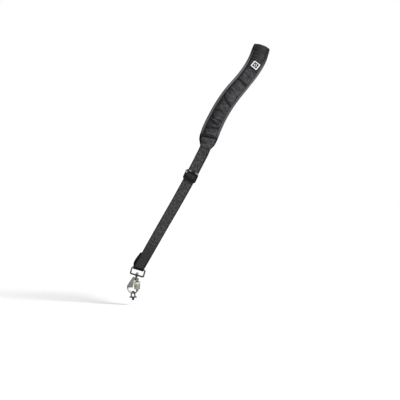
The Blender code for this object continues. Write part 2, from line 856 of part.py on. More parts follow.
def lock_sleeve():
    groove_radius = SLEEVE_RADIUS - SLEEVE_GROOVE_DEPTH
    groove_top, groove_end = SLEEVE_GROOVE
    profile = (
        (SLEEVE_BORE, -SLEEVE_TOP),
        (SLEEVE_RADIUS - SLEEVE_SHOULDER, -SLEEVE_TOP),
        (SLEEVE_RADIUS, -SLEEVE_TOP - SLEEVE_SHOULDER),
        (SLEEVE_RADIUS, -groove_top + SLEEVE_GROOVE_DEPTH),
        (groove_radius, -groove_top),
        (groove_radius, -groove_end),
        (SLEEVE_RADIUS, -groove_end - SLEEVE_GROOVE_DEPTH),
        (SLEEVE_RADIUS, -SLEEVE_END + SLEEVE_CHAMFER),
        (SLEEVE_RADIUS - SLEEVE_CHAMFER, -SLEEVE_END),
        (SLEEVE_BORE, -SLEEVE_END),
    )
    return moved(turned(profile, ROUND + 2, bore=True), PIVOT_PLACE)


def camera_stud():
    crown = BOW_RADIUS + EYE_CLEAR + EYE_WIRE - EYE_RADIUS  # arc's middle over the bow's wire
    points = [(-EYE_RADIUS, -FLANGE_TOP - 0.5)]
    points += [
        (-EYE_RADIUS * math.cos(math.pi * k / 10), crown + EYE_RADIUS * math.sin(math.pi * k / 10))
        for k in range(11)
    ]
    points.append((EYE_RADIUS, -FLANGE_TOP - 0.5))
    turn = math.radians(EYE_TURN)
    spread = np.array([math.sin(turn), -math.cos(turn), 0.0])
    eye = tube([spread * side + np.array([0.0, 0.0, up]) for side, up in points], EYE_WIRE)
    bottom = -FLANGE_TOP - FLANGE_THICK
    base = turned(
        [
            (0.0, -FLANGE_TOP), (FLANGE_RADIUS - 0.6, -FLANGE_TOP),
            (FLANGE_RADIUS, -FLANGE_TOP - 0.6), (FLANGE_RADIUS, bottom), (SCREW_RADIUS, bottom),
            (SCREW_RADIUS, bottom - SCREW_LENGTH + 0.6),
            (SCREW_RADIUS - 0.6, bottom - SCREW_LENGTH), (0.0, bottom - SCREW_LENGTH),
        ],
        ROUND + 2,
    )
    return moved(combined(eye, ("UNION", base)), Matrix.Translation(Vector(in_hook(*EYE_AT))))


# ---------------------------------------------------------------- the object


def build():
    clear_scene()
    pad_cloth = material("pad_cloth", CLOTH_DARK, 0.9)
    face_cloth = material("face_cloth", CLOTH_FACE, 0.85)
    binding_cloth = material("binding_cloth", CLOTH_DARK, 0.8)
    tape_weave = material("tape_weave", TAPE, 0.8)
    label_cloth = material("label_cloth", LABEL_WHITE, 0.6)
    slider_plastic = material("slider_plastic", PLASTIC, 0.4)
    nickel = material("nickel", NICKEL, 0.3, 1.0)
    sleeve_metal = material("sleeve_metal", SLEEVE_METAL, 0.35, 1.0)
    stud_metal = material("stud_metal", STUD_METAL, 0.4, 1.0)

    put("shoulder_pad", shoulder_pad(), pad_cloth)
    put("edge_binding_inner", edge_binding(-1), binding_cloth)
    put("edge_binding_outer", edge_binding(1), binding_cloth)
    put("shoulder_panel", panel(REAR_SEAM, LABEL_SEAM, PAD_STEP, False), face_cloth)
    put("face_panel", panel(LABEL_SEAM, LOWER_SEAM, FACE_STEP, True), face_cloth)
    put("front_tab", end_tab(PAD_FRONT_END, LOWER_SEAM), face_cloth)
    put("rear_tab", end_tab(PAD_REAR_END, REAR_SEAM), face_cloth)
    put("label", label(), label_cloth)
    put("webbing_front", webbing_front(), tape_weave)
    put("webbing_rear", webbing_rear(), tape_weave)
    put("slider", slider(), slider_plastic)

    hung_ring = put("ring", ring(), nickel, RING_BAR)
    hook = put("swivel_hook", swivel_hook(), nickel, BOSS, hung_ring)
    hinged = put("gate", gate(), nickel, in_hook(*PIVOT), hook)
    put("lock_sleeve", lock_sleeve(), sleeve_metal, in_hook(*PIVOT), hinged)
    put("camera_stud", camera_stud(), stud_metal, in_hook(*EYE_AT), hook)


build()
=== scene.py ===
"""Looks of a camera sling strap in its worn loop: cloth, webbing, stitches and hardware.

Run as a script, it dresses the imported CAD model. Sizes are in millimetres unless a
property says otherwise, in the frame of the CAD model: +Z up, the front towards -Y,
and the origin under the padded part, at the top of the loop.
"""

import math
from collections import namedtuple

import bmesh
import bpy
import numpy as np
from mathutils import Matrix, Vector, noise


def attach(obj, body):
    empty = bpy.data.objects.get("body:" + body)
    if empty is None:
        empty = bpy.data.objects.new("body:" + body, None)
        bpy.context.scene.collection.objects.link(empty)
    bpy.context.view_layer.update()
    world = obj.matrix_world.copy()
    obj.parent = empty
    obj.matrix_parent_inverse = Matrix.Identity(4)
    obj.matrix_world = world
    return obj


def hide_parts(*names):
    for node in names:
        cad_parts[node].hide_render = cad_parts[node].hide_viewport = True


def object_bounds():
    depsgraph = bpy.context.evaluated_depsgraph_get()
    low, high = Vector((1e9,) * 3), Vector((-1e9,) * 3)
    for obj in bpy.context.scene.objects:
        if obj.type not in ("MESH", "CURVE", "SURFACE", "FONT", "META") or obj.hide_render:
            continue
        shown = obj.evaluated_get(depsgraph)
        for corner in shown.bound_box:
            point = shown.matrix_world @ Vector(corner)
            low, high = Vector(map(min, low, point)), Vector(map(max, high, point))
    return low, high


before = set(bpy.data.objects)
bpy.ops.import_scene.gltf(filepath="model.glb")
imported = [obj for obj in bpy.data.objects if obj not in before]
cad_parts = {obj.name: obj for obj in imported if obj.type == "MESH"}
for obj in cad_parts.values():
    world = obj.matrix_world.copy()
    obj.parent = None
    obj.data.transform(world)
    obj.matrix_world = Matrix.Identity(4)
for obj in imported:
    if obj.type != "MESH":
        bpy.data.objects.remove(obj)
CAD_BOX = [list(map(float, corner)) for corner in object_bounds()]

bl_info = {
    "name": "Sling strap dresser",
    "version": (1, 0, 0),
    "blender": (4, 5, 0),
    "location": "3D View > Sidebar > Strap",
    "description": "Builds the cloth, webbing, stitches and hardware of a camera sling strap",
    "category": "Object",
}

MM = 0.001
GAP = 0.3
UV_NAME = "strap"

# The strap's underside from the top of the loop to the ring: x, forward, z and slope.
ROUTE = np.array([
    (0.0, 0.0, 0.0, 19.5), (-4.0, 34.0, -11.0, 20.0), (-12.5, 58.0, -33.0, 25.0),
    (-28.6, 77.0, -60.0, 34.5), (-49.4, 88.0, -87.0, 39.5), (-72.6, 96.0, -115.0, 37.0),
    (-91.9, 101.0, -143.0, 31.5), (-108.0, 103.5, -171.5, 26.0), (-121.2, 104.0, -200.0, 20.0),
    (-128.6, 102.5, -220.0, 18.5), (-135.6, 99.5, -241.0, 25.0), (-148.9, 93.5, -268.0, 29.5),
    (-174.5, 77.0, -317.0, 29.5), (-200.0, 57.0, -363.0, 29.5), (-223.0, 38.5, -403.0, 29.5),
    (-245.3, 20.0, -441.5, 29.5), (-258.9, 9.0, -465.5, 29.5), (-271.6, 1.9, -488.0, 28.0),
    (-281.5, 0.45, -505.5, 22.0), (-296.2, 0.15, -531.3, 16.0),
])

# The pad, by distance along the strap from the crest.
PAD_FRONT_END, PAD_REAR_END = 322.0, -96.0
BINDING_REACH, BINDING_WALL = 6.5, 1.2
BODY_HALF, BODY_HALF_AT_END = 2.9, 1.2
BODY_TAPER = (19.0, 34.0)
PANEL_EDGE_RISE, PANEL_CROWN = 0.7, 1.7
CLOTH_STEP = 1.35  # size of a cloth mesh's squares
BODY_COLUMNS, BODY_TOP_COLUMNS, PANEL_COLUMNS, TAB_COLUMNS = 17, 7, 31, 19
SIDE_TUCK_PITCH, SEAM_TUCK_PITCH, PUCKER_PITCH = 9.5, 4.9, 6.4
PANEL_TUCK_IN = 0.6  # how far a panel reaches under the bindings
PAD_WIDTHS = (
    (-96.0, 26.0), (-91.0, 32.0), (-84.0, 37.5), (-72.0, 40.5), (0.0, 40.5), (60.0, 43.0),
    (100.0, 42.0), (135.0, 41.0), (170.0, 42.6), (240.0, 42.8), (282.0, 44.4), (298.0, 43.5),
    (308.0, 40.0), (316.0, 32.5), (322.0, 26.0),
)

# Seams across the pad: where each crosses the middle, and its skew to the right.
Seam = namedtuple("Seam", "along skew")
LABEL_SEAM, LOWER_SEAM, REAR_SEAM = Seam(101.6, 0.07), Seam(296.0, -0.15), Seam(-67.0, 0.0)

# Creases across the face panel: both ends' distance and side, their depths, the half width.
CREASES = (
    (109.0, 10.0, 110.0, 15.0, 0.5, 0.8, 1.6), (124.0, 1.0, 124.5, 8.0, 0.4, 0.7, 1.6),
    (128.5, -14.0, 130.0, -6.0, 1.0, 0.3, 1.8), (141.0, -15.0, 143.5, 12.0, 1.7, 1.2, 1.6),
    (160.0, -14.0, 163.0, -3.0, 0.8, 0.2, 1.7), (172.0, -14.0, 176.0, -5.0, 0.9, 0.3, 1.8),
    (178.5, 9.5, 179.5, 16.0, 0.5, 1.1, 1.4), (192.0, -15.0, 198.0, -9.0, 1.4, 1.1, 1.9),
    (198.5, -9.0, 207.5, 14.0, 1.2, 1.4, 1.6), (215.0, -14.0, 218.0, -6.0, 1.0, 0.3, 1.8),
    (222.0, 7.0, 224.0, 15.0, 0.3, 0.6, 1.6), (231.0, -15.0, 228.5, 3.0, 1.5, 0.5, 1.7),
    (241.5, 8.0, 240.0, 17.0, 0.3, 0.7, 1.6), (244.0, -12.0, 250.0, -8.5, 1.2, 1.2, 2.2),
    (250.0, 5.0, 252.5, 15.0, 0.8, 0.9, 1.5), (256.5, -15.0, 261.5, 8.0, 1.8, 0.9, 1.8),
    (272.0, -2.0, 269.5, 14.0, 0.9, 1.2, 1.5), (274.5, -15.0, 277.0, -6.0, 1.3, 0.7, 1.7),
)

LABEL_SIDE, LABEL_THICK = 17.8, 0.8
LABEL_ALONG, LABEL_ACROSS, LABEL_TURN = 90.0, 2.6, 8.0
TAB_LONGEST, TAB_TOP = 26.0, 8.9
TAB_INSET_LEFT, TAB_INSET_RIGHT = 4.2, 1.8

WEB_WIDE, WEB_THICK, WEB_TUCK = 25.4, 1.6, 16.0
REAR_WEB_STOP = 18.0
CHEVRON, CHEVRON_LEAN, YARN_PITCH = 3.2, 1.2, 1.25
# The tape's height over the line, by distance past the pad's end.
WEB_LIFTS = ((-16.0, 6.5), (1.0, 6.5), (8.0, 5.0), (16.0, 2.6), (24.0, 1.1), (32.0, 0.8))

SLIDER_ALONG, SLIDER_TURN = 399.5, 4.0
SLIDER_LENGTH, SLIDER_HALF_WIDE, SLIDER_CORNER = 26.0, 16.4, 5.0
SLIDER_RAIL, SLIDER_SLOT, SLIDER_BAR = 13.7, 13.1, 4.5
SLIDER_UNDER, SLIDER_TOP = 1.9, 5.2
SLIDER_MIDDLE_HALF = SLIDER_MIDDLE_TOP = 2.2
SLIDER_HUMP = ((-8.0, 0.8), (-3.0, 3.3), (3.0, 3.3), (8.0, 0.8))

RING_TILT, RING_WIRE, RING_CORNER = 16.0, 1.9, 2.2
RING_HALF_WIDE = RING_DROP = 16.2
BOSS_RADIUS, BOSS_HALF, BOSS_BORE = 3.9, 2.3, 1.9

# The fold round the ring's bar: height over it, both layers' heights, the tail's shift.
FOLD_RADIUS = RING_WIRE + GAP + WEB_THICK / 2
TAIL_RISE = 38.5
FOLD_ROWS = np.array([
    (0.0, 3.0, -3.0, -0.8), (4.0, 3.0, -2.85, -2.6), (8.0, 2.95, -2.3, -4.8),
    (12.0, 2.85, -1.3, -5.9), (18.0, 2.75, -0.3, -6.0), (24.0, 2.75, 0.4, -5.5),
    (34.0, 2.75, 0.8, -3.9), (38.5, 2.75, 0.8, -3.3), (60.0, 0.8, 0.8, -3.3),
])

# The hook in its own plane, right of and above the boss; the shank by radius and place.
SHANK = (
    (0.0, -7.2), (1.4, -6.95), (2.5, -6.2), (3.3, -5.0), (3.7, -3.6), (3.7, -2.65), (1.5, -2.65),
    (1.5, 2.65), (2.8, 2.65), (3.0, 2.9), (3.0, 3.5), (2.3, 4.3), (2.3, 7.5), (0.0, 7.5),
)
PLATE = (
    (-9.0, -3.2), (-6.0, -3.7), (-3.2, -4.9), (-0.6, -5.6), (1.5, -6.6), (3.2, -8.8),
    (3.0, -11.5), (0.9, -13.3), (-2.2, -13.0), (-6.8, -13.1), (-7.3, -14.0), (-8.9, -28.8),
    (-9.9, -29.8), (-22.4, -29.8), (-24.3, -28.2), (-24.0, -26.0), (-16.6, -14.2),
)
PLATE_HALF = 2.9
BOW = (
    (-22.1, -26.5), (-21.9, -31.0), (-20.3, -36.0), (-16.8, -40.4), (-12.9, -42.7),
    (-9.0, -43.2), (-5.2, -42.8), (-1.7, -41.2), (0.5, -38.6), (0.9, -36.8),
)
BOW_RADIUS = 1.8
STUB_RADIUS, STUB_TOP, STUB_BOTTOM = 3.2, -35.9, -38.6

PIVOT = (0.9, -10.2)
CHEEK_RADIUS, CHEEK_HALF = 3.9, 3.4
CHEEK_SLOT_RADIUS, CHEEK_SLOT_HALF = 4.3, 2.0
PIN_RADIUS, PIN_HALF = 1.2, 3.9
KNUCKLE_RADIUS, KNUCKLE_HALF, KNUCKLE_BORE = 3.6, 1.7, 1.55
GATE_RADIUS, GATE_NECK_HALF, GATE_TOP, GATE_END = 3.2, 2.4, 4.4, 25.4
SLEEVE_RADIUS, SLEEVE_BORE, SLEEVE_SHOULDER = 7.2, 3.6, 2.2
SLEEVE_TOP, SLEEVE_BAND, SLEEVE_END = 4.6, 10.4, 23.8  # below the pivot
RIB_HEIGHT, RIB_WIDTH = 0.35, 0.72

EYE_AT = (-9.0, -43.2)
EYE_TURN, EYE_RADIUS, EYE_WIRE, EYE_CLEAR = 40.0, 7.0, 1.6, 0.45
FLANGE_TOP, FLANGE_THICK, FLANGE_RADIUS = 8.2, 2.8, 9.0
SCREW_RADIUS, SCREW_LENGTH = 3.1, 6.0
THREAD_PITCH, THREAD_DEPTH = 1.27, 0.45

SEAM_INSET, SECOND_INSET = 1.3, 3.0  # the bindings' stitches, from the inner edge
SEWN_HALF, SEWN_ROWS, REAR_SEWN_ROWS = 10.6, (14.5, 18.0, 32.0, 35.5), (24.0, 29.0)
STITCH_SLANT, STITCH_WOBBLE = 0.12, 0.12
THREAD_LIFT = 0.15

SIDES, WIRE_SIDES = 48, 20
SHARP_ANGLE = 38.0  # edges of metal that are sharper stay crisp
SIM_SCALE = 0.04 / MM  # the cloth moves as a large cushion does, then shrinks back
SIM_FRAMES = 20

PIXEL = 2.42  # millimetres seen by one of the frame's 400 pixels, at the strap
CAMERA_AWAY = 5000.0
CAMERA_AT = (-147.7, -CAMERA_AWAY, -364.9)
SENSOR = 36.0
FLOOR_HALF, FLOOR_BELOW = 30.0, 0.012  # in metres


# ---- the strap's line


class StrapLine:
    """A smooth curve through the route's rows, read by distance from the crest."""

    def __init__(self, rows):
        self.rows = np.concatenate([rows[:0:-1], rows * (1, -1, 1, 1)])
        chord = np.linalg.norm(np.diff(self.rows[:, :3], axis=0), axis=1)
        self.knots = np.concatenate([[0.0], np.cumsum(chord)])
        rise = np.diff(self.rows, axis=0) / chord[:, None]
        before, after = chord[:-1, None], chord[1:, None]
        between_rows = (rise[:-1] * after + rise[1:] * before) / (before + after)
        self.tangents = np.concatenate([rise[:1], between_rows, rise[-1:]])
        self.fine = np.linspace(0.0, self.knots[-1], 4001)
        stretches = np.linalg.norm(np.diff(self.read(self.fine)[:, :3], axis=0), axis=1)
        walked = np.concatenate([[0.0], np.cumsum(stretches)])
        self.distance = walked - np.interp(self.knots[len(rows) - 1], self.fine, walked)
        self.end = self.distance[-1]

    def read(self, knot):
        left = np.searchsorted(self.knots, knot, side="right") - 1
        left = np.clip(left, 0, len(self.knots) - 2)
        span = (self.knots[left + 1] - self.knots[left])[:, None]
        t = (knot - self.knots[left])[:, None] / span
        return (
            (2 * t**3 - 3 * t**2 + 1) * self.rows[left]
            + (t**3 - 2 * t**2 + t) * span * self.tangents[left]
            + (3 * t**2 - 2 * t**3) * self.rows[left + 1]
            + (t**3 - t**2) * span * self.tangents[left + 1]
        )

    def rows_at(self, along):
        return self.read(np.interp(along, self.distance, self.fine))

    def frames(self, along):
        """Points, width directions and outward directions at distances from the crest."""
        along = np.asarray(along, float).ravel()
        here = self.rows_at(along)
        ahead = self.rows_at(np.minimum(along + 0.5, self.end))[:, :3]
        behind = self.rows_at(np.maximum(along - 0.5, -self.end))[:, :3]
        slope = np.radians(here[:, 3])
        across = np.stack([np.cos(slope), 0 * slope, -np.sin(slope)], axis=1)
        outward = np.cross(ahead - behind, across)
        outward /= np.linalg.norm(outward, axis=1, keepdims=True)
        return here[:, :3], across, outward

    def places(self, along, across, height):
        """World places of points given by distance, side and height, in arrays of one shape."""
        along, across, height = np.broadcast_arrays(along, across, height)
        point, width, outward = self.frames(along)
        places = point + width * across.reshape(-1, 1) + outward * height.reshape(-1, 1)
        return places.reshape(*along.shape, 3)


LINE = StrapLine(ROUTE)
TILT = math.radians(RING_TILT)
DOWN_RING = np.array([-math.sin(TILT), 0.0, -math.cos(TILT)])
ALONG_BAR = np.array([math.cos(TILT), 0.0, -math.sin(TILT)])
RIGHT, FRONT, UP = (np.array(way) for way in ((1.0, 0.0, 0.0), (0.0, -1.0, 0.0), (0.0, 0.0, 1.0)))
RING_BAR = ROUTE[-1, :3] * (1, 0, 1)
BOSS = RING_BAR + DOWN_RING * RING_DROP


def smooth(value, low, high):
    t = np.clip((value - low) / (high - low), 0.0, 1.0)
    return t * t * (3 - 2 * t)


def read_rows(rows, value):
    return np.interp(value, *zip(*rows))


def steps(low, high, size):
    return np.linspace(low, high, max(2, round(abs(high - low) / size) + 1))


def row_of(low, high, count):
    """Even values as one row of a grid."""
    return np.linspace(low, high, count)[None, :]


def wander(along, across, size, seed):
    """Smooth unevenness between -1 and 1, the same on every run."""
    along, across = np.broadcast_arrays(along, across)
    pairs = zip(along.ravel(), across.ravel())
    values = [noise.noise(Vector((a / size, b / size, seed))) for a, b in pairs]
    return np.array(values).reshape(along.shape)


def slider_place():
    """The slider's side, upward and outward directions, and its middle."""
    place, across, outward = (row[0] for row in LINE.frames(SLIDER_ALONG))
    turn = math.radians(SLIDER_TURN)
    side = across * math.cos(turn) + np.cross(outward, across) * math.sin(turn)
    return side, np.cross(outward, side), outward, place


SLIDER_PLACE = slider_place()
SLIDER_TURN_AT = (SLIDER_HALF_WIDE - SLIDER_CORNER, SLIDER_LENGTH / 2 - SLIDER_CORNER)


# ---- nodes


def by_math(operation, swapped=False):
    """A method that adds one Math node for this wire and other values."""

    def method(self, *others):
        values = (*others, self) if swapped else (self, *others)
        return self.graph.add("ShaderNodeMath", dict(enumerate(values)), operation=operation)

    return method


class Wire:
    """An output socket; arithmetic on it adds Math nodes."""

    __add__ = __radd__ = by_math("ADD")
    __mul__ = __rmul__ = by_math("MULTIPLY")
    __sub__, __rsub__ = by_math("SUBTRACT"), by_math("SUBTRACT", swapped=True)
    __truediv__, __pow__, __abs__ = by_math("DIVIDE"), by_math("POWER"), by_math("ABSOLUTE")
    sin, fraction, above = by_math("SINE"), by_math("FRACT"), by_math("GREATER_THAN")
    most, least = by_math("MAXIMUM"), by_math("MINIMUM")

    def __init__(self, graph, socket):
        self.graph, self.socket = graph, socket

    def spread(self, low, high):
        """0 at low and 1 at high, with a soft change between."""
        values = {"Value": self, "From Min": low, "From Max": high}
        return self.graph.add("ShaderNodeMapRange", values, interpolation_type="SMOOTHSTEP")

    def band(self, low, high, soft=0.25):
        """1 between low and high, and 0 outside, with soft edges."""
        return self.spread(low - soft, low + soft) * self.spread(high + soft, high - soft)


class Graph:
    """Adds nodes to one tree."""

    def __init__(self, tree):
        self.tree = tree

    def add(self, kind, inputs=None, out=0, **settings):
        """A node with its settings made first, then its sockets' values or links."""
        node = self.tree.nodes.new(kind)
        for name, value in settings.items():
            setattr(node, name, value)
        for key, value in (inputs or {}).items():
            self.feed(node.inputs[key], value)
        return Wire(self, node.outputs[out])

    def feed(self, socket, value):
        """Link a wire to a socket, or set a plain value on it."""
        if isinstance(value, Wire):
            self.tree.links.new(value.socket, socket)
        else:
            socket.default_value = value

    def paint(self, colour, base, *layers):
        """A base under layers, each a tone and its mask.

        A tone is a colour, a wire, or a number: how light it is against the main colour.
        """

        def toned(tone):
            return shade(colour, tone) if isinstance(tone, float) else tone

        base = toned(base)
        for tone, mask in layers:
            sockets = {0: mask, 6: base, 7: toned(tone)}
            base = self.add("ShaderNodeMix", sockets, 2, data_type="RGBA")
        return base

    def split(self, place, keys):
        return [self.add("ShaderNodeSeparateXYZ", {"Vector": place}, key) for key in keys]

    def strap_vector(self):
        return self.add("ShaderNodeUVMap", uv_map=UV_NAME)

    def strap_place(self):
        """Across and along the strap, in millimetres, from the piece's own UV map."""
        return self.split(self.strap_vector(), "XY")

    def object_place(self):
        """The place on the object, in millimetres."""
        place = self.add("ShaderNodeTexCoord", out="Object")
        return self.stretched(place, (1 / MM, 1 / MM, 1 / MM))

    def stretched(self, place, scale):
        return self.add("ShaderNodeMapping", {"Vector": place, "Scale": scale})

    def from_point(self, origin, axis):
        """How far the place on the object lies from a point along an axis, in millimetres."""
        parts = self.split(self.object_place(), "XYZ")
        pairs = [(part - start) * way for part, start, way in zip(parts, origin, axis) if way]
        return sum(pairs[1:], pairs[0])

    def noise(self, place, size, detail=2.0, roughness=0.5):
        """Cloudy values round a half, with features of about this size in millimetres."""
        sockets = {"Vector": place, "Scale": 1 / size, "Detail": detail, "Roughness": roughness}
        return self.add("ShaderNodeTexNoise", sockets, "Fac")

    def hollow(self):
        """How much painted shade the place has, in folds, seams and tucks, from 0 to 1, as its mesh
        says.
        """
        return self.add("ShaderNodeAttribute", out="Fac", attribute_name="hollow")

    def bump(self, height, depth, strength):
        """A normal from a height between 0 and 1 that stands for a depth in millimetres."""
        sockets = {"Height": height, "Distance": depth * MM, "Strength": strength}
        return self.add("ShaderNodeBump", sockets)


def wave(value, pitch):
    """An even wave between 0 and 1."""
    return (value * (math.tau / pitch)).sin() * 0.5 + 0.5


def shade(colour, factor=1.0):
    """An opaque colour, made lighter or darker."""
    return (*(part * factor for part in colour[:3]), 1.0)


def finish(name, fixed, finisher, *values):
    """A material with fixed sockets, and colour, roughness and normal from its finisher."""
    made = bpy.data.materials.new(name)
    made.use_nodes = True
    graph = Graph(made.node_tree)
    varied = zip(("Base Color", "Roughness", "Normal"), finisher(graph, *values))
    for key, value in (*fixed.items(), *varied):
        graph.feed(made.node_tree.nodes["Principled BSDF"].inputs[key], value)
    return made


MATTE = {"Specular IOR Level": 0.05, "Sheen Weight": 0.03}
METAL = {"Metallic": 1.0}


# ---- finishes, each giving a colour, a roughness and a normal


def pad_cloth(graph, colour, tint, dim_sides=0.0):
    """Fine nylon cloth, a little lilac in patches, with painted highlights on its gathers and
    towards its right side, and painted shade on its left side, in its gathers and folds.

    dim_sides is how much painted shade darkens its sides on the crest.
    """
    across, along = graph.strap_place()
    place = graph.strap_vector()
    cloud, fine = graph.noise(place, 20.0, 3.0), graph.noise(place, 2.4, 4.0, 0.6)
    yarn = math.tau / 0.7
    weave = ((across * yarn).sin() * (along * yarn).sin()) * 0.5 + 0.5
    gather = graph.noise(graph.stretched(place, (0.3, 1.0, 1.0)), 4.0, 3.0, 0.65)
    sides = across.spread(4.0, -13.0) * 0.75 + across.spread(10.5, 14.0)
    base = graph.paint(
        colour, 1.0,
        (shade(tint), cloud.spread(0.35, 0.65)),
        # Painted highlight towards the right side, and painted shade towards the left.
        (shade(tint, 1.3), across.spread(-4.0, 16.0) * 0.6),
        (0.65, across.spread(2.0, -12.0) * 0.55),
        # Painted highlights and painted shade on the small gathers.
        (shade(tint, 1.7), gather.spread(0.5, 0.66) * 0.75),
        (0.25, gather.spread(0.52, 0.34) * 0.9),
        # Painted shade at the sides on the crest.
        (0.3, sides * along.spread(80.0, 40.0) * dim_sides),
        (0.6, (1 - weave) * 0.4),
        # Painted shade in the folds, seams and tucks that the mesh marks.
        (0.1, (graph.hollow() * (fine * 0.4 + 0.8)).least(1.0)),
    )
    return base, fine * 0.2 + 0.62, graph.bump(weave * 0.4 + fine * 0.6, 0.16, 0.7)


def lining_cloth(graph, colour):
    """Knitted spacer mesh with rows of small holes, for the pad's underside."""
    across, along = graph.strap_place()
    row = (along / 2.6).fraction() - 0.5
    column = (across / 2.2 + (along / 5.2).fraction().above(0.5) * 0.5).fraction() - 0.5
    hole = ((row * row + column * column) ** 0.5).spread(0.34, 0.18)
    cloud = graph.noise(graph.strap_vector(), 15.0, 3.0)
    base = graph.paint(colour, 0.85, (1.25, cloud), (0.3, hole))
    return base, hole * 0.1 + 0.8, graph.bump(1 - hole, 0.5, 0.8)


def binding_cloth(graph, colour, zones, start, full, last, end):
    """Ribbed grosgrain tape with zones of painted light, as (low, high, colour, near, far)
    from its lip outwards.

    Its zones show fully in the stretch of the strap from full to last, and beyond start and
    end it is painted darker still, as shade.
    """
    across, along = graph.strap_place()
    place = graph.strap_vector()
    rib = wave(along, 0.95)
    cloud, fine = graph.noise(place, 12.0, 4.0), graph.noise(place, 2.0, 3.0, 0.6)
    zoned = [
        (shade(tone), across.band(low, high) * along.band(near, far, 14.0))
        for low, high, tone, near, far in zones
    ]
    lit = graph.paint(
        colour, 1.0, (1.4, cloud), *zoned,
        (0.5, (1 - rib) * 0.35), (0.5, fine.spread(0.5, 0.8) * 0.35),
    )
    # Painted shade beyond start and end, where the lit zones fade out.
    base = graph.paint(colour, 0.2, (lit, along.spread(start, full) * along.spread(end, last)))
    return base, cloud * 0.2 + 0.58, graph.bump(rib * 0.6 + fine * 0.4, 0.16, 0.7)


def tape_weave(graph, colour):
    """Herringbone webbing with painted shade along its edges, through the slider, towards
    the ring and over its fold and tail.
    """
    across, along = graph.strap_place()
    place = graph.strap_vector()
    column = abs((across / CHEVRON).fraction() - 0.5)
    yarn = wave(along + column * CHEVRON * CHEVRON_LEAN, YARN_PITCH)
    groove = column.spread(0.46, 0.5) + column.spread(0.06, 0.0)
    mottle, cloud = graph.noise(place, 4.6, 2.0, 0.7), graph.noise(place, 30.0, 4.0)
    fine = graph.noise(place, 1.2, 3.0)
    # Painted shade along both edges, wider along one edge near the end, and over the fold and tail.
    edge = abs(across).spread(WEB_WIDE / 2 - 2.6, WEB_WIDE / 2 - 1.2) * 0.8
    wide_edge = across.spread(8.7, 9.7) * along.spread(LINE.end - 45.0, LINE.end - 30.0)
    fold = along.spread(LINE.end - 5.0, LINE.end - 1.0)
    base = graph.paint(
        colour, 0.88,
        (1.15, cloud),
        (1.35, fine.spread(0.55, 0.8) * 0.4),
        (0.5, (1 - yarn) * 0.5),
        (0.3, mottle.spread(0.53, 0.35) * 0.85),
        (1.8, mottle.spread(0.5, 0.65) * 0.7),
        # Painted shade towards the lower end, and where the tape runs through the slider.
        (0.38, along.spread(LINE.end - 95.0, LINE.end - 40.0) * 0.85),
        (0.3, along.band(SLIDER_ALONG - 9.0, SLIDER_ALONG + 9.0, 1.0) * 0.75),
        (0.06, edge.most(wide_edge).most(fold)),
    )
    height = yarn * (1 - groove.least(1.0) * 0.6) + fine * 0.3
    return base, fine * 0.25 + 0.55, graph.bump(height, 0.25, 0.8)


def label_cloth(graph, colour, ink):
    """Satin-woven white patch with a plain woven box and cross."""
    across, along = graph.strap_place()
    line = wave(along, 0.6)
    cloud = graph.noise(graph.strap_vector(), 6.0, 3.0)
    reach = abs(across).most(abs(along))
    cross = abs(abs(across) - abs(along)).spread(1.5, 1.3) * reach.spread(4.1, 3.9)
    woven = reach.band(3.7, 6.3, 0.1).most(cross)
    base = graph.paint(
        colour, 1.0, (0.82, cloud.spread(0.5, 0.9)), (0.75, (1 - line) * 0.3),
        (shade(ink), woven.least(1.0)),
    )
    return base, cloud * 0.2 + 0.4, graph.bump(line * 0.5 + woven * 0.5, 0.12, 0.6)


def thread(graph, colour):
    """Twisted sewing thread."""
    fine = graph.noise(graph.object_place(), 0.5)
    return graph.paint(colour, 0.75, (1.2, fine)), fine * 0.2 + 0.5


def moulded_plastic(graph, colour):
    """Black moulded plastic with a fine grain, lighter in patches, and painted highlights
    on its upper edge and corner.
    """
    place = graph.object_place()
    grain, rub = graph.noise(place, 0.35, 3.0, 0.7), graph.noise(place, 4.0, 4.0)
    side, up = (graph.from_point(SLIDER_PLACE[3], SLIDER_PLACE[k]) for k in (0, 1))
    edge = up.band(SLIDER_LENGTH / 2 - 1.6, SLIDER_LENGTH / 2 + 0.2, 0.3)
    turn_side, turn_up = side - SLIDER_TURN_AT[0], up - SLIDER_TURN_AT[1]
    away = (turn_side * turn_side + turn_up * turn_up) ** 0.5
    corner = away.band(SLIDER_CORNER - 1.6, SLIDER_CORNER + 0.2, 0.3)
    corner = corner * turn_side.above(0.0) * turn_up.above(0.0)
    # Painted highlights along the upper edge and round the corner.
    light = (edge * side.band(-9.5, -3.5, 0.8)).most(corner)
    light = light.most(edge * side.band(7.0, SLIDER_TURN_AT[0], 0.4))
    rubbed = (4.0, rub.spread(0.5, 0.75) * 0.6)
    base = graph.paint(colour, 1.0, rubbed, (shade((0.17, 0.17, 0.17)), light))
    return base, rub * 0.25 + 0.25, graph.bump(grain, 0.05, 0.5)


def plated_metal(graph, colour, dark, rough, grain_size, shaded=None, bright=None):
    """Plated metal, cloudy from casting, with hairline scratches.

    shaded and bright give masks of its painted shade and its painted highlights.
    """
    place = graph.object_place()
    cloud = graph.noise(place, grain_size, 5.0, 0.65)
    scratch = graph.noise(graph.stretched(place, (1.0, 1.0, 0.12)), 0.5)
    layers = [(shade(dark), cloud.spread(0.42, 0.62))]
    if bright:
        layers.append((1.6, bright(graph)))
    if shaded:
        layers.append((shade(dark, 0.2), shaded(graph)))
    rough = cloud * 0.25 + scratch.spread(0.5, 0.75) * 0.15 + (rough - 0.12)
    height = cloud * 0.8 + scratch * 0.2
    return graph.paint(colour, 1.0, *layers), rough, graph.bump(height, 0.06, 0.5)


def ring_painted_shade(graph):
    """Painted shade on the ring's lower bar and boss, and a little on its right leg."""
    down, right = (graph.from_point(RING_BAR, way) for way in (DOWN_RING, ALONG_BAR))
    return (down.spread(11.5, 14.5) * 0.7).most(right.spread(11.0, 14.5) * 0.45)


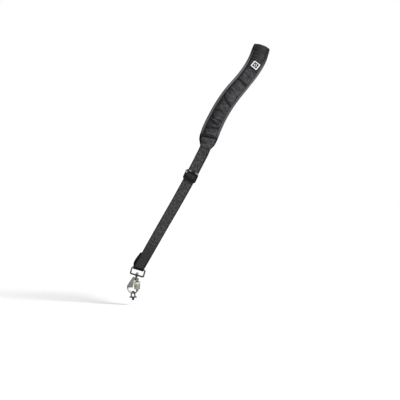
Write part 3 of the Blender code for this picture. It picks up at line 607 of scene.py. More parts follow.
def from_pivot(graph):
    """How far the place lies right of and above the gate's pivot."""
    return (graph.from_point(in_hook(*PIVOT), way) for way in (RIGHT, UP))


def hook_painted_shade(graph):
    """Painted shade round the gate's hinge and beside the swivel's neck."""
    side, up = from_pivot(graph)
    hinge = (side * side + up * up) ** 0.5
    neck = side.band(-3.6, -1.4, 0.4) * up.band(-1.0, 10.0, 0.5)
    return hinge.band(CHEEK_RADIUS - 0.5, CHEEK_RADIUS + 1.6, 0.4).most(neck) * 0.9


def sleeve_painted_shade(graph):
    """Painted shade on the sleeve's side next to the plate and on its top corners."""
    side, up = from_pivot(graph)
    beside = (0 - side).spread(SLEEVE_RADIUS - 2.4, SLEEVE_RADIUS - 0.8)
    top = abs(side).spread(3.0, 5.0) * up.spread(-SLEEVE_TOP - 2.4, -SLEEVE_TOP - 1.2)
    return beside.most(top) * 0.85


def sleeve_painted_highlight(graph):
    """A painted highlight on the sleeve's plain band."""
    _, up = from_pivot(graph)
    return up.band(-SLEEVE_BAND, -SLEEVE_TOP - SLEEVE_SHOULDER, 0.3)


def coated_metal(graph, colour):
    """Dark coated steel with bare wear."""
    cloud = graph.noise(graph.object_place(), 2.0, 5.0, 0.6)
    base = graph.paint(colour, 1.0, (4.0, cloud.spread(0.6, 0.8)))
    return base, cloud * 0.3 + 0.2, graph.bump(cloud, 0.04, 0.5)


def floor_finish(graph, colour):
    """Plain pale matte floor."""
    return (graph.paint(colour, 1.0, (0.985, graph.noise(graph.object_place(), 400.0))),)


# ---- meshes


def cloth_mesh(name, places, side, along, wrap=False, hollow=None):
    """A mesh over a grid of places, with its side and distance as a UV map.

    The places are rows along the strap by columns across it. A wrapped grid is a
    capped tube, and its side has one more column than its places.
    """
    rows, columns = places.shape[:2]
    last = columns if wrap else columns - 1
    faces, corners = [], []
    for i in range(rows - 1):
        for j in range(last):
            row, k = i * columns, (j + 1) % columns
            faces.append((row + j, row + columns + j, row + columns + k, row + k))
            corners += [(i, j), (i + 1, j), (i + 1, j + 1), (i, j + 1)]
    if wrap:
        for i, order in ((0, range(columns)), (rows - 1, range(columns - 1, -1, -1))):
            faces.append(tuple(i * columns + j for j in order))
            corners += [(i, j) for j in order]
    mesh = bpy.data.meshes.new(name)
    mesh.from_pydata((places * MM).reshape(-1, 3).tolist(), [], faces)
    picked = tuple(np.array(corners).T)
    values = [np.broadcast_to(part, (rows, last + 1))[picked] for part in (side, along)]
    layer = mesh.uv_layers.new(name=UV_NAME)
    layer.data.foreach_set("uv", np.stack(values, 1).astype(np.float32).ravel())
    # Painted shade, if given, goes on the mesh as a point attribute.
    if hollow is not None:
        depth = mesh.attributes.new("hollow", "FLOAT", "POINT")
        depth.data.foreach_set("value", np.ravel(hollow).astype(np.float32))
    mesh.update()
    return mesh


def loft(rings, closed=False):
    """A closed skin over rings of equal length, joined up or capped; a point is a pole."""
    mesh = bmesh.new()
    rows = []
    for ring in rings:
        points = [tuple(map(float, point)) for point in ring]
        if len(set(points)) == 1:
            rows.append([mesh.verts.new(points[0])] * len(points))
        else:
            rows.append([mesh.verts.new(point) for point in points])
    pairs = list(zip(rows, rows[1:] + rows[:1])) if closed else list(zip(rows, rows[1:]))
    for first, second in pairs:
        for i in range(len(first)):
            j = (i + 1) % len(first)
            corners = tuple(dict.fromkeys((first[i], first[j], second[j], second[i])))
            if len(corners) > 2:
                mesh.faces.new(corners)
    for cap in () if closed else (rows[0], rows[-1]):
        if len(set(cap)) > 2:
            mesh.faces.new(cap)
    bmesh.ops.recalc_face_normals(mesh, faces=mesh.faces)
    return mesh


def turned(profile, sides=SIDES, bore=False):
    """A profile of (radius, height) turned about Z, closed on the axis or as a ring."""
    turns = [math.tau * k / sides for k in range(sides)]
    rings = [[(r * math.cos(a), r * math.sin(a), high) for a in turns] for r, high in profile]
    return loft(rings, bore)


def rod(radius, low, high, ease=0.25):
    """A round bar along Z with eased ends."""
    return turned((
        (0.0, low), (radius - ease, low), (radius, low + ease),
        (radius, high - ease), (radius - ease, high), (0.0, high),
    ))


def box(low, high):
    mesh = bmesh.new()
    bmesh.ops.create_cube(mesh, size=1.0)
    low, high = Vector(low), Vector(high)
    return moved(mesh, Matrix.Translation((low + high) / 2) @ Matrix.Diagonal((*(high - low), 1.0)))


def wire(points, radius, closed=False):
    """Round wire along points."""
    points = [np.array(point, float) for point in points]
    turns = [math.tau * (k + 0.5) / WIRE_SIDES for k in range(WIRE_SIDES)]
    rings, side = [], None
    for i, point in enumerate(points):
        after = points[(i + 1) % len(points)] if closed or i + 1 < len(points) else point
        before = points[i - 1] if closed or i else point
        forward = (after - before) / np.linalg.norm(after - before)
        side = np.cross(forward, FRONT) if side is None else side
        side = side - forward * side.dot(forward)
        side /= np.linalg.norm(side)
        other = np.cross(forward, side)
        rings.append([point + radius * (side * math.cos(a) + other * math.sin(a)) for a in turns])
    return loft(rings, closed)


def smooth_points(points, parts):
    """A smooth curve through points, with a few places on each stretch."""
    rows = [np.array(point, float) for point in points]
    rows = [2 * rows[0] - rows[1], *rows, 2 * rows[-1] - rows[-2]]
    made = []
    for before, start, end, after in zip(rows, rows[1:], rows[2:], rows[3:]):
        for t in (k / parts for k in range(parts)):
            made.append((
                2 * start
                + (end - before) * t
                + (2 * before - 5 * start + 4 * end - after) * t**2
                + (3 * start - before - 3 * end + after) * t**3
            ) / 2)
    return [*made, rows[-2]]


def rounded_outline(half_wide, half_long, radius, sides=8):
    """A rectangle with round corners, as (x, y) points."""
    points = []
    for quarter, (right, up) in enumerate(((1, 1), (-1, 1), (-1, -1), (1, -1))):
        middle = right * (half_wide - radius), up * (half_long - radius)
        for k in range(sides + 1):
            turn = (quarter + k / sides) * math.pi / 2
            x, y = middle[0] + radius * math.cos(turn), middle[1] + radius * math.sin(turn)
            points.append((x, y))
    return points


def slab(outline, low, high):
    """An outline of (x, y) points given a thickness along Z."""
    return loft([[(x, y, height) for x, y in outline] for height in (low, high)])


def eased(mesh, width, segments=2, degrees=35):
    """The mesh with its sharp edges rounded."""
    least = math.radians(degrees)
    sharp = [edge for edge in mesh.edges if edge.is_manifold and edge.calc_face_angle() > least]
    bmesh.ops.bevel(
        mesh, geom=sharp, offset=width, segments=segments, profile=0.5,
        affect="EDGES", clamp_overlap=True,
    )
    return mesh


def moved(mesh, matrix):
    mesh.transform(matrix)
    return mesh


def shifted(place):
    return Matrix.Translation(Vector(place))


def axes(x_axis, y_axis, z_axis, origin=(0.0, 0.0, 0.0)):
    turn = Matrix((Vector(x_axis), Vector(y_axis), Vector(z_axis))).transposed()
    return shifted(origin) @ turn.to_4x4()


def combined(first, *changes):
    """A mesh after exact unions and cuts with others, each an (operation, mesh) pair."""
    made = []
    for mesh in (first, *(change[1] for change in changes)):
        data = bpy.data.meshes.new("block")
        mesh.to_mesh(data)
        mesh.free()
        made.append(linked("block", data))
    for (operation, _), block in zip(changes, made[1:]):
        step = made[0].modifiers.new(operation, "BOOLEAN")
        step.operation, step.solver, step.object = operation, "EXACT", block
    result = bmesh.new()
    result.from_mesh(evaluated(made[0]).to_mesh())
    for block in made:
        bpy.data.objects.remove(block, do_unlink=True)
    return result


def linked(name, data):
    piece = bpy.data.objects.new(name, data)
    bpy.context.scene.collection.objects.link(piece)
    return piece


def evaluated(piece):
    """The object as its modifiers make it."""
    bpy.context.view_layer.update()
    return piece.evaluated_get(bpy.context.evaluated_depsgraph_get())


def placed(piece, body, node):
    """The piece riding on its body and the node that it stands for."""
    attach(piece, body)
    if node:
        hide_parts(node)
    return piece


def hard_piece(name, mesh, material, body, node):
    """A hard piece from a mesh in millimetres, which stands for a CAD node."""
    data = bpy.data.meshes.new(name)
    moved(mesh, Matrix.Scale(MM, 4)).to_mesh(data)
    mesh.free()
    data.materials.append(material)
    data.shade_smooth()
    data.set_sharp_from_angle(angle=math.radians(SHARP_ANGLE))
    return placed(linked(name, data), body, node)


def soft_piece(mesh, material, node, levels=1, wall=0.0):
    """A cloth piece, with a wall where it is one skin, and a smooth subdivision."""
    mesh.materials.append(material)
    mesh.shade_smooth()
    piece = linked(mesh.name, mesh)
    if wall:
        shell = piece.modifiers.new("wall", "SOLIDIFY")
        shell.thickness, shell.offset = wall * MM, -1.0
    if levels:
        finer = piece.modifiers.new("smooth", "SUBSURF")
        finer.levels = finer.render_levels = levels
    return placed(piece, "strap", node)


def swell(mesh, held, slack, pressure, cap):
    """Move a mesh's points as cloth under air pressure, by no more than cap millimetres.

    held is how firmly each point stays, and slack where the cut has spare cloth.
    """
    big = mesh.copy()
    big.transform(Matrix.Scale(SIM_SCALE, 4))
    cushion = linked("swelling", big)
    for name, weights in (("held", held), ("slack", slack)):
        group = cushion.vertex_groups.new(name=name)
        for i, weight in enumerate(np.ravel(weights)):
            group.add([i], float(weight), "REPLACE")
    cloth = cushion.modifiers.new("cloth", "CLOTH")
    settings = cloth.settings
    settings.vertex_group_mass, settings.vertex_group_shrink = "held", "slack"
    settings.shrink_min, settings.shrink_max = -0.02, -0.08
    settings.use_pressure, settings.uniform_pressure_force = True, pressure
    settings.effector_weights.gravity = 0.0
    settings.mass, settings.bending_stiffness, settings.quality = 0.08, 0.15, 6
    cloth.point_cache.frame_start, cloth.point_cache.frame_end = 1, SIM_FRAMES
    for step in range(1, SIM_FRAMES + 1):
        bpy.context.scene.frame_set(step)
    settled = evaluated(cushion).to_mesh()
    before, after = np.empty((2, len(mesh.vertices) * 3))
    mesh.vertices.foreach_get("co", before)
    settled.vertices.foreach_get("co", after)
    shift = (after / SIM_SCALE - before).reshape(-1, 3)
    far = np.linalg.norm(shift, axis=1, keepdims=True)
    shift *= np.minimum(1.0, cap * MM / np.maximum(far, 1e-9))
    mesh.vertices.foreach_set("co", before + shift.ravel())
    mesh.update()
    bpy.data.objects.remove(cushion, do_unlink=True)
    bpy.context.scene.frame_set(1)


# ---- what repeats: stitches and ribs


def repeat_tree(name, sizes, rings, plan):
    """A Geometry Nodes tree that lays long beads on points, as plan says.

    sizes are its named inputs; plan gives the points, the upward direction, the size of
    a bead and its turn.
    """
    tree = bpy.data.node_groups.new(name, "GeometryNodeTree")
    face = tree.interface
    face.new_socket("Geometry", in_out="INPUT", socket_type="NodeSocketGeometry")
    for label, (kind, value) in sizes.items():
        socket = face.new_socket(label, in_out="INPUT", socket_type="NodeSocket" + kind)
        if value is not None:
            socket.default_value = value
    face.new_socket("Geometry", in_out="OUTPUT", socket_type="NodeSocketGeometry")
    graph = Graph(tree)
    ends = tree.nodes.new("NodeGroupInput")
    given = {socket.name: Wire(graph, socket) for socket in ends.outputs if socket.name}
    points, upward, size, turn = plan(graph, given)
    facing = graph.add(
        "FunctionNodeAxesToRotation",
        {"Primary Axis": upward, "Secondary Axis": graph.add("GeometryNodeInputTangent")},
        primary_axis="Z", secondary_axis="X",
    )
    if turn:
        local = {"Euler": graph.add("ShaderNodeCombineXYZ", {"Z": turn})}
        local = {"Rotation": facing, "Rotate By": graph.add("FunctionNodeEulerToRotation", local)}
        facing = graph.add("FunctionNodeRotateRotation", local, rotation_space="LOCAL")
    bead = {"Segments": 8, "Rings": rings, "Radius": 0.5}
    laid = graph.add("GeometryNodeInstanceOnPoints", {
        "Points": points, "Instance": graph.add("GeometryNodeMeshUVSphere", bead),
        "Rotation": facing, "Scale": graph.add("ShaderNodeCombineXYZ", dict(zip("XYZ", size))),
    })
    solid = graph.add("GeometryNodeRealizeInstances", {"Geometry": laid})
    done = {"Geometry": solid, "Material": given["Material"]}
    shown = graph.add("GeometryNodeSetShadeSmooth", {0: graph.add("GeometryNodeSetMaterial", done)})
    tree.links.new(shown.socket, tree.nodes.new("NodeGroupOutput").inputs[0])
    return tree


def stitch_tree():
    """Threads laid along lines: even stitches that turn a little at random."""

    def plan(graph, given):
        line = graph.add("GeometryNodeMeshToCurve", {"Mesh": given["Geometry"]})
        even = {"Curve": line, "Length": given["Spacing"]}
        even = graph.add("GeometryNodeResampleCurve", even, mode="LENGTH")
        upward = graph.add(
            "GeometryNodeInputNamedAttribute", {"Name": "upward"}, data_type="FLOAT_VECTOR"
        )
        wobble = {"Min": -STITCH_WOBBLE, "Max": STITCH_WOBBLE, "Seed": given["Seed"]}
        wobble = graph.add("FunctionNodeRandomValue", wobble, 1, data_type="FLOAT")
        thick = given["Thickness"]
        return even, upward, (given["Length"], thick, thick * 0.8), wobble + given["Slant"]

    return repeat_tree("stitch_run", {
        "Spacing": ("Float", 3.2 * MM), "Length": ("Float", 2.4 * MM),
        "Thickness": ("Float", 0.5 * MM), "Slant": ("Float", 0.0), "Seed": ("Int", 7),
        "Material": ("Material", None),
    }, 5, plan)


def rib_tree():
    """Straight ribs round a barrel, made from a ring of points."""

    def plan(graph, given):
        ring = {"Resolution": given["Count"], "Radius": given["Radius"]}
        ring = graph.add("GeometryNodeCurvePrimitiveCircle", ring, mode="RADIUS")
        return ring, (0.0, 0.0, 1.0), (given["Width"], given["Width"], given["Length"]), None

    return repeat_tree("barrel_ribs", {
        "Count": ("Int", 40), "Radius": ("Float", 7.0 * MM), "Length": ("Float", 10.0 * MM),
        "Width": ("Float", 0.7 * MM), "Material": ("Material", None),
    }, 6, plan)


def grown(name, seed_mesh, tree, values):
    """A plain mesh from a tree run on a mesh, with the tree's inputs set by name."""
    host = linked(name, seed_mesh)
    growth = host.modifiers.new("growth", "NODES")
    growth.node_group = tree
    for item in tree.interface.items_tree:
        if item.in_out == "INPUT" and item.name in values:
            growth[item.identifier] = values[item.name]
    plain = bpy.data.meshes.new_from_object(evaluated(host))
    host.modifiers.remove(growth)
    host.data = plain
    return host


def lines_mesh(name, runs):
    """Open polylines with the outward direction at each point; runs hold both."""
    mesh = bpy.data.meshes.new(name)
    points, edges, upward = [], [], []
    for places, outward in runs:
        start = len(points)
        points += (places * MM).tolist()
        upward += outward.tolist()
        edges += [(start + k, start + k + 1) for k in range(len(places) - 1)]
    mesh.from_pydata(points, edges, [])
    attribute = mesh.attributes.new("upward", "FLOAT_VECTOR", "POINT")
    attribute.data.foreach_set("vector", np.ravel(upward).astype(np.float32))
    return mesh


def strap_run(along, across, height):
    """A stitching line in strap places, with its outward directions."""
    along, across, height = np.broadcast_arrays(along, across, height)
    return LINE.places(along, across, height), LINE.frames(along)[2]


# ---- the pad


def pad_half_width(along):
    return read_rows(PAD_WIDTHS, along) / 2


def body_half(along):
    from_end = np.minimum(PAD_FRONT_END - along, along - PAD_REAR_END)
    return BODY_HALF_AT_END + (BODY_HALF - BODY_HALF_AT_END) * smooth(from_end, *BODY_TAPER)


def body_middle(along):
    return body_half(along) + GAP + BINDING_WALL


def binding_inner_edge(along):
    return pad_half_width(along) - BINDING_REACH


def panel_top(along, across):
    """The panel's outer face, which dives under the bindings at its long edges."""
    share = np.clip(np.abs(across) / (binding_inner_edge(along) + PANEL_TUCK_IN), 0.0, 1.0)
    base = body_middle(along) + body_half(along) + GAP + PANEL_EDGE_RISE
    return base + PANEL_CROWN * (1 - share**4)


def seam_drop(from_seam):
    """How much lower a panel is at this distance from a seam across the pad."""
    return (PANEL_CROWN - 0.2) * (1 - smooth(from_seam, -1.5, 5.0))


def crease_dents(along, across):
    """How far the creases dent the face panel, and the painted shade in them, from 0 to 1."""
    dent = np.zeros(np.broadcast(along, across).shape)
    hollow = dent.copy()
    for along_a, across_a, along_b, across_b, depth_a, depth_b, half in CREASES:
        run = np.array([along_b - along_a, across_b - across_a])
        da, dc = along - along_a, across - across_a
        share = np.clip((da * run[0] + dc * run[1]) / run.dot(run), 0.0, 1.0)
        away = np.hypot(da - share * run[0], dc - share * run[1]) / half
        depth = depth_a + (depth_b - depth_a) * share
        side = np.sign(da * run[1] - dc * run[0]) * np.sign(run[1])
        valley = depth * np.exp(-(away**2))
        ridge = depth * 0.35 * np.exp(-((away - 2.0) ** 2)) * (side < 0)
        dent = np.where(valley > np.abs(dent), valley, dent - ridge)
        # Painted shade along each crease's valley.
        dark = np.maximum(np.exp(-((away / 1.1) ** 2)), 0.5 * np.exp(-((away / 2.8) ** 2)))
        hollow = np.maximum(hollow, np.clip(1.1 * depth, 0.0, 1.1) * dark)
    return dent, np.clip(hollow, 0.0, 1.0)


def tucks(along, across, to_seam):
    """Small tucks where the panel is gathered, along its left edge and at the lower seam."""
    inner = binding_inner_edge(along)
    left = smooth(-across, inner - 7.0, inner - 1.0)
    phase = 2.4 * wander(along, 0.0, 24.0, 1.0)
    side = np.clip(np.sin(along * (math.tau / SIDE_TUCK_PITCH) + phase), 0.0, 1.0) * left
    close = 1 - smooth(to_seam, 2.5, 9.5 + 4.0 * wander(0.0, across, 6.0, 8.0))
    phase = 1.8 * wander(0.0, across, 9.0, 6.0)
    seam = np.clip(np.sin(across * (math.tau / SEAM_TUCK_PITCH) + phase), 0.0, 1.0) * close
    # The dents of the tucks, and the painted shade in them.
    return 0.9 * side + 1.1 * seam, np.clip(0.8 * side + 1.2 * seam, 0.0, 1.0)


def make_pad_body(material):
    """The padded body: a flat cushion whose underside swells between the bindings."""
    along = steps(PAD_REAR_END, PAD_FRONT_END, 2.4)[:, None]
    inner = binding_inner_edge(along)
    reach = BINDING_REACH - GAP - BINDING_WALL
    half, middle = body_half(along), body_middle(along)
    low_share, high_share = row_of(-1, 1, BODY_COLUMNS), row_of(1, -1, BODY_TOP_COLUMNS)
    right = np.radians(row_of(-60, 60, 5))
    crown = 0.9 * (1 - low_share**4) * (half / BODY_HALF)
    side = np.concatenate([
        inner * low_share, inner + reach * np.cos(right), inner * high_share,
        -inner - reach * np.cos(right),
    ], axis=1)
    height = np.concatenate([
        middle - half - crown, middle + half * np.sin(right),
        middle + half + 0 * high_share, middle + half * np.sin(-right),
    ], axis=1)
    places = LINE.places(along, side, height)
    under = side[:, :BODY_COLUMNS]
    onwards = np.arange(1, side.shape[1] - BODY_COLUMNS + 2)[None, :]
    girth = np.concatenate([under, under[:, -1:] + onwards], axis=1)
    mesh = cloth_mesh("pad_body", places[:, ::-1], girth[:, ::-1], along, wrap=True)
    held, slack = np.ones(side.shape), np.zeros(side.shape)
    held[4:-4, 2:BODY_COLUMNS - 2] = 0.0
    slack[:, 2:BODY_COLUMNS - 2] = 0.6
    swell(mesh, held[:, ::-1], slack[:, ::-1], 3.0, 1.0)
    piece = soft_piece(mesh, material, "shoulder_pad")


def make_panel(name, first, last, node, creased, material):
    """A panel between two seams, swollen between its edges and gathered at creases."""
    whole = last.along - first.along
    part = np.linspace(0.0, 1.0, len(steps(first.along, last.along, CLOTH_STEP)))[:, None]
    middle = first.along + whole * part
    across = (binding_inner_edge(middle) + PANEL_TUCK_IN) * row_of(-1, 1, PANEL_COLUMNS)
    along = middle + (first.skew * (1 - part) ** 8 + last.skew * part**8) * across
    run = part * whole
    from_seam = np.minimum(run, whole - run)
    rise = panel_top(along, across)
    rise -= seam_drop(from_seam)
    left = smooth(-across, -6.0, 14.0)
    inner = binding_inner_edge(along)
    # Painted shade next to the seams and where the panel dives under the bindings.
    hollow = 0.8 * (1 - smooth(from_seam, 1.2, 4.6 if creased else 1.4))
    hollow = np.maximum(hollow, 0.35 * smooth(across, inner - 1.8, inner - 0.2))
    hollow = np.maximum(hollow, 0.9 * smooth(-across, inner - 3.4, inner - 1.4))
    held, slack = np.zeros(along.shape), np.zeros(along.shape)
    if creased:
        bent = [1.5 * wander(along, across, 8.0, seed) for seed in (11.0, 12.0)]
        dent, dark = crease_dents(along + bent[0], across + bent[1])
        tuck, tuck_dark = tucks(along, across, whole - run)
        rise -= np.maximum(dent, tuck)
        rise += 0.45 * wander(along, across * 0.4, 8.0, 3.0) * (0.5 + left)
        # Painted shade in patches over the panel's left part, joined with that in the creases and
        # tucks.
        patches = smooth(wander(along, across * 0.7, 9.0, 21.0), -0.1, 0.45)
        gathered = (0.3 + 0.4 * patches) * left * smooth(along, 165.0, 205.0)
        hollow = np.maximum.reduce([hollow, dark, tuck_dark, gathered])
        held = np.clip(np.maximum(dent, tuck) / 1.5, 0.0, 1.0) * 0.9
        slack = 0.3 + 0.7 * left
    else:
        rise += 0.15 * wander(along, across, 14.0, 5.0)
    held[:, :2] = held[:, -2:] = held[:2] = held[-2:] = 1.0
    mesh = cloth_mesh(name, LINE.places(along, across, rise), across, along, hollow=hollow)
    swell(mesh, held, slack, 4.0 if creased else 1.5, 1.3 if creased else 0.5)
    piece = soft_piece(mesh, material, node, wall=1.0)


def make_binding(name, hand, node, material):
    """A folded tape round one long edge, puckered a little by its stitches."""
    along = steps(PAD_REAR_END, PAD_FRONT_END, 1.6)[:, None]
    inner, middle = binding_inner_edge(along), body_middle(along)
    rise = body_half(along) + GAP + BINDING_WALL
    turns, back = np.radians(row_of(-90, 90, 15)), np.radians(row_of(90, -90, 9))
    pucker = 0.16 * np.sin(along * (math.tau / PUCKER_PITCH))
    pucker += 0.22 * wander(along, 0.0, 9.0, hand)
    flat = np.abs(np.sin(turns)) ** 3 * np.sign(turns)
    high = middle + rise * np.sin(turns) + pucker * flat * 0.6
    lip = inner - 0.35
    side = np.concatenate([
        inner + BINDING_REACH * np.cos(turns) + 0.15 * pucker, lip,
        inner + (BINDING_REACH - BINDING_WALL) * np.cos(back), lip,
    ], axis=1)
    height = np.concatenate([
        high, high[:, -1:] - 0.45, middle + (rise - BINDING_WALL) * np.sin(back),
        high[:, :1] + 0.45,
    ], axis=1)
    places = LINE.places(along, side * hand, height)
    around = np.concatenate([side - inner, side[:, :1] - inner], axis=1)
    if hand > 0:
        places, around = places[:, ::-1], around[:, ::-1]
    mesh = cloth_mesh(name, places, around, along, wrap=True)
    soft_piece(mesh, material, node)


def tab_top(back, share):
    """The tab's outer face, by the distance from its end and its share of the half width."""
    top = TAB_TOP + 0.5 * (1 - share**2) - 1.0 * np.abs(share) ** 6
    return top - 0.9 * (1 - smooth(back, -0.8, 2.0))


def make_tab(name, end, seam, node, material):
    """The tab over the webbing's end, crowned over it and sewn down at its sides."""
    inward = 1 if seam.along > end else -1
    length = min(TAB_LONGEST, abs(end - seam.along)) + 0.3
    back = steps(-0.8, length, 1.3)[:, None]
    share = row_of(-1, 1, TAB_COLUMNS)
    half = pad_half_width(end + inward * np.maximum(back, 0.0))
    narrow = smooth(back, 0.0, 8.0)
    left = -half + TAB_INSET_LEFT * narrow + 0.1
    right = half - TAB_INSET_RIGHT * narrow - 0.1
    across = (left + right) / 2 + (right - left) / 2 * share
    along = end + inward * back + seam.skew * across * np.clip(back / length, 0.0, 1.0) ** 4
    top = tab_top(back, share) + 0.15 * wander(along, across, 8.0, 4.0)
    # Painted shade along the sewn sides and next to the seam.
    sewn = 0.85 * smooth(np.abs(share) ** 6, 0.45, 1.0)
    hollow = np.maximum(sewn, 0.75 * smooth(back, length - 3.0, length - 0.5))
    grids = LINE.places(along, across, top), across, along, hollow
    places, across, along, hollow = (grid[::inward] for grid in grids)
    mesh = cloth_mesh(name, places, across, along, hollow=hollow)
    soft_piece(mesh, material, node, wall=1.1)


def on_label(right, down):
    """Distance and side on the strap of a place on the turned label."""
    turn = math.radians(LABEL_TURN)
    along = LABEL_ALONG + down * math.cos(turn) + right * math.sin(turn)
    return along, LABEL_ACROSS + right * math.cos(turn) - down * math.sin(turn)


def make_label(material):
    """The sewn patch: a thin square with round corners and a raised edge."""
    half = LABEL_SIDE / 2
    shares = np.concatenate([[-1.0, -0.96, -0.88], np.linspace(-0.8, 0.8, 13), [0.88, 0.96, 1.0]])
    down, right = np.meshgrid(shares, shares, indexing="ij")
    corner = np.maximum(0.0, np.abs(down) - 0.9) * np.maximum(0.0, np.abs(right) - 0.9) * 30
    down, right = half * down * (1 - corner * 0.16), half * right * (1 - corner * 0.16)
    along, across = on_label(right, down)
    border = np.maximum(np.abs(down), np.abs(right)) / half
    lift = LABEL_THICK + 0.15 * smooth(border, 0.8, 0.9) - 0.45 * smooth(border, 0.93, 1.0)
    places = LINE.places(along, across, panel_top(along, across) + GAP / 2 + lift)
    mesh = cloth_mesh("label_patch", places, right, down)
    soft_piece(mesh, material, "label", wall=0.7)


# ---- webbing


def fold_row(above):
    """The run's height, the tail's height and the tail's shift over the ring's bar."""
    return [np.interp(above, FOLD_ROWS[:, 0], FOLD_ROWS[:, k]) for k in (1, 2, 3)]


def run_height(along):
    beside_slider = along - SLIDER_ALONG
    if abs(beside_slider) < SLIDER_LENGTH / 2:
        return read_rows(SLIDER_HUMP, beside_slider)
    if LINE.end - along < FOLD_ROWS[-1, 0]:
        return fold_row(LINE.end - along)[0]
    return read_rows(WEB_LIFTS, along - PAD_FRONT_END)


def section_at(along, height, shift=0.0):
    """The tape's middle, width direction and outward direction at a height over the line."""
    point, across, outward = (row[0] for row in LINE.frames(along))
    return point + outward * height + across * shift, across, outward


def between(places, size):
    """Places with more of them put in, so that none is further apart than size."""
    made = [places[0]]
    for low, high in zip(places, places[1:]):
        made += list(np.linspace(low, high, max(2, math.ceil(abs(high - low) / size) + 1))[1:])
    return made


def front_run_rows():
    """Distance, middle, width direction and outward side down the front and up the tail."""
    slider_places = [SLIDER_ALONG + offset for offset in (-13, -8, -3, 3, 8, 13)]
    knots = [PAD_FRONT_END - WEB_TUCK, *slider_places, *(LINE.end - FOLD_ROWS[:, 0])]
    rows = [(along, *section_at(along, run_height(along))) for along in between(sorted(knots), 4.0)]
    for degrees in range(12, 180, 12):
        turn = math.radians(degrees)
        radial = FRONT * math.cos(turn) + DOWN_RING * math.sin(turn)
        shift = ALONG_BAR * (FOLD_ROWS[0, 3] * degrees / 180)
        middle = RING_BAR + radial * FOLD_RADIUS + shift
        rows.append((LINE.end + FOLD_RADIUS * turn, middle, ALONG_BAR, radial))
    for above in between(FOLD_ROWS[FOLD_ROWS[:, 0] <= TAIL_RISE, 0], 3.0):
        middle, across, outward = section_at(LINE.end - above, *fold_row(above)[1:])
        rows.append((LINE.end + FOLD_RADIUS * math.pi + above, middle, across, -outward))
    return rows


def rear_run_rows():
    """Distance, middle, width direction and outward side down the rear."""
    folded = FOLD_ROWS[FOLD_ROWS[:, 0] >= REAR_WEB_STOP, 0] - LINE.end
    rows = []
    for along in between([PAD_REAR_END + WEB_TUCK, *folded[::-1]], 4.0):
        height = read_rows(WEB_LIFTS, PAD_REAR_END - along)
        height += max(0.0, WEB_THICK / 2 - fold_row(LINE.end + along)[1])
        rows.append((along, *section_at(along, height)))
    return rows


def tape_section():
    """Half-round selvedges on a flat tape, as (side, height) shares of half its size."""
    flat = [(x, 1.0) for x in np.linspace(-0.955, 0.955, 13)]
    selvedge = [(0.985, 0.75), (1.0, 0.3), (1.0, -0.3), (0.985, -0.75)]
    under = [(-x, -1.0) for x, _ in flat]
    return np.array(flat + selvedge + under + [(-x, -y) for x, y in selvedge])


def make_tape(name, rows, node, material):
    """Webbing through rows, each its distance, middle, width direction and outward side."""
    distances, middles, across, outward = (np.array(part) for part in zip(*rows))
    section = tape_section()
    uneven = 1 + 0.006 * wander(distances, 0.0, 11.0, 2.0)
    side = section[None, :, 0] * (WEB_WIDE / 2) * uneven[:, None]
    high = section[None, :, 1, None] * (WEB_THICK / 2)
    places = middles[:, None] + across[:, None] * side[..., None] + outward[:, None] * high
    side = np.concatenate([side[:, ::-1], side[:, -1:]], axis=1)
    mesh = cloth_mesh(name, places[:, ::-1], side, distances[:, None], wrap=True)
    piece = soft_piece(mesh, material, node, levels=0)


# ---- hardware


def in_hook(x, z):
    return BOSS + np.array([x, 0.0, z])


HOOK_PLACE, PIVOT_PLACE, EYE_PLACE = map(shifted, (BOSS, in_hook(*PIVOT), in_hook(*EYE_AT)))
ALONG_Y = Matrix.Rotation(math.radians(90), 4, "X")
SHANK_PLACE = axes(ALONG_BAR, -FRONT, -DOWN_RING, BOSS)


def across_hook(radius, half, ease=0.2):
    """A round bar along the gate's pin."""
    return moved(rod(radius, -half, half, ease), PIVOT_PLACE @ ALONG_Y)


def slider_mesh():
    half_long = SLIDER_LENGTH / 2
    outline = rounded_outline(SLIDER_HALF_WIDE, half_long, SLIDER_CORNER)
    lean = math.tan(math.radians(SLIDER_TURN))
    slot = rounded_outline(SLIDER_SLOT, half_long - SLIDER_BAR, 1.2, 4)
    opening = slab([(x - y * lean, y) for x, y in slot], 0.0, SLIDER_TOP + 1)
    plate = combined(slab(outline, SLIDER_UNDER, SLIDER_TOP), ("DIFFERENCE", opening))
    rail_high, rail_long = SLIDER_HALF_WIDE - 0.4, half_long - SLIDER_CORNER + 1.0
    bar = SLIDER_RAIL + 0.8
    blocks = (
        ((SLIDER_RAIL, -rail_long, 0.1), (rail_high, rail_long, 3.4)),
        ((-rail_high, -rail_long, 0.1), (-SLIDER_RAIL, rail_long, 3.4)),
        ((-bar, -SLIDER_MIDDLE_HALF, 0.3), (bar, SLIDER_MIDDLE_HALF, SLIDER_MIDDLE_TOP)),
    )
    parts = [("UNION", eased(box(low, high), 0.5)) for low, high in blocks]
    return moved(combined(eased(plate, 0.8, 3), *parts), axes(*SLIDER_PLACE))


def ring_mesh():
    half_drop = RING_DROP / 2
    outline = rounded_outline(RING_HALF_WIDE, half_drop, RING_CORNER)
    points = [RING_BAR + ALONG_BAR * x + DOWN_RING * (half_drop - y) for x, y in outline]
    boss = moved(rod(BOSS_RADIUS, -BOSS_HALF, BOSS_HALF, 0.5), SHANK_PLACE)
    bore = moved(rod(BOSS_BORE, -BOSS_RADIUS * 2, BOSS_RADIUS, 0.05), SHANK_PLACE)
    return combined(wire(points, RING_WIRE, closed=True), ("UNION", boss), ("DIFFERENCE", bore))


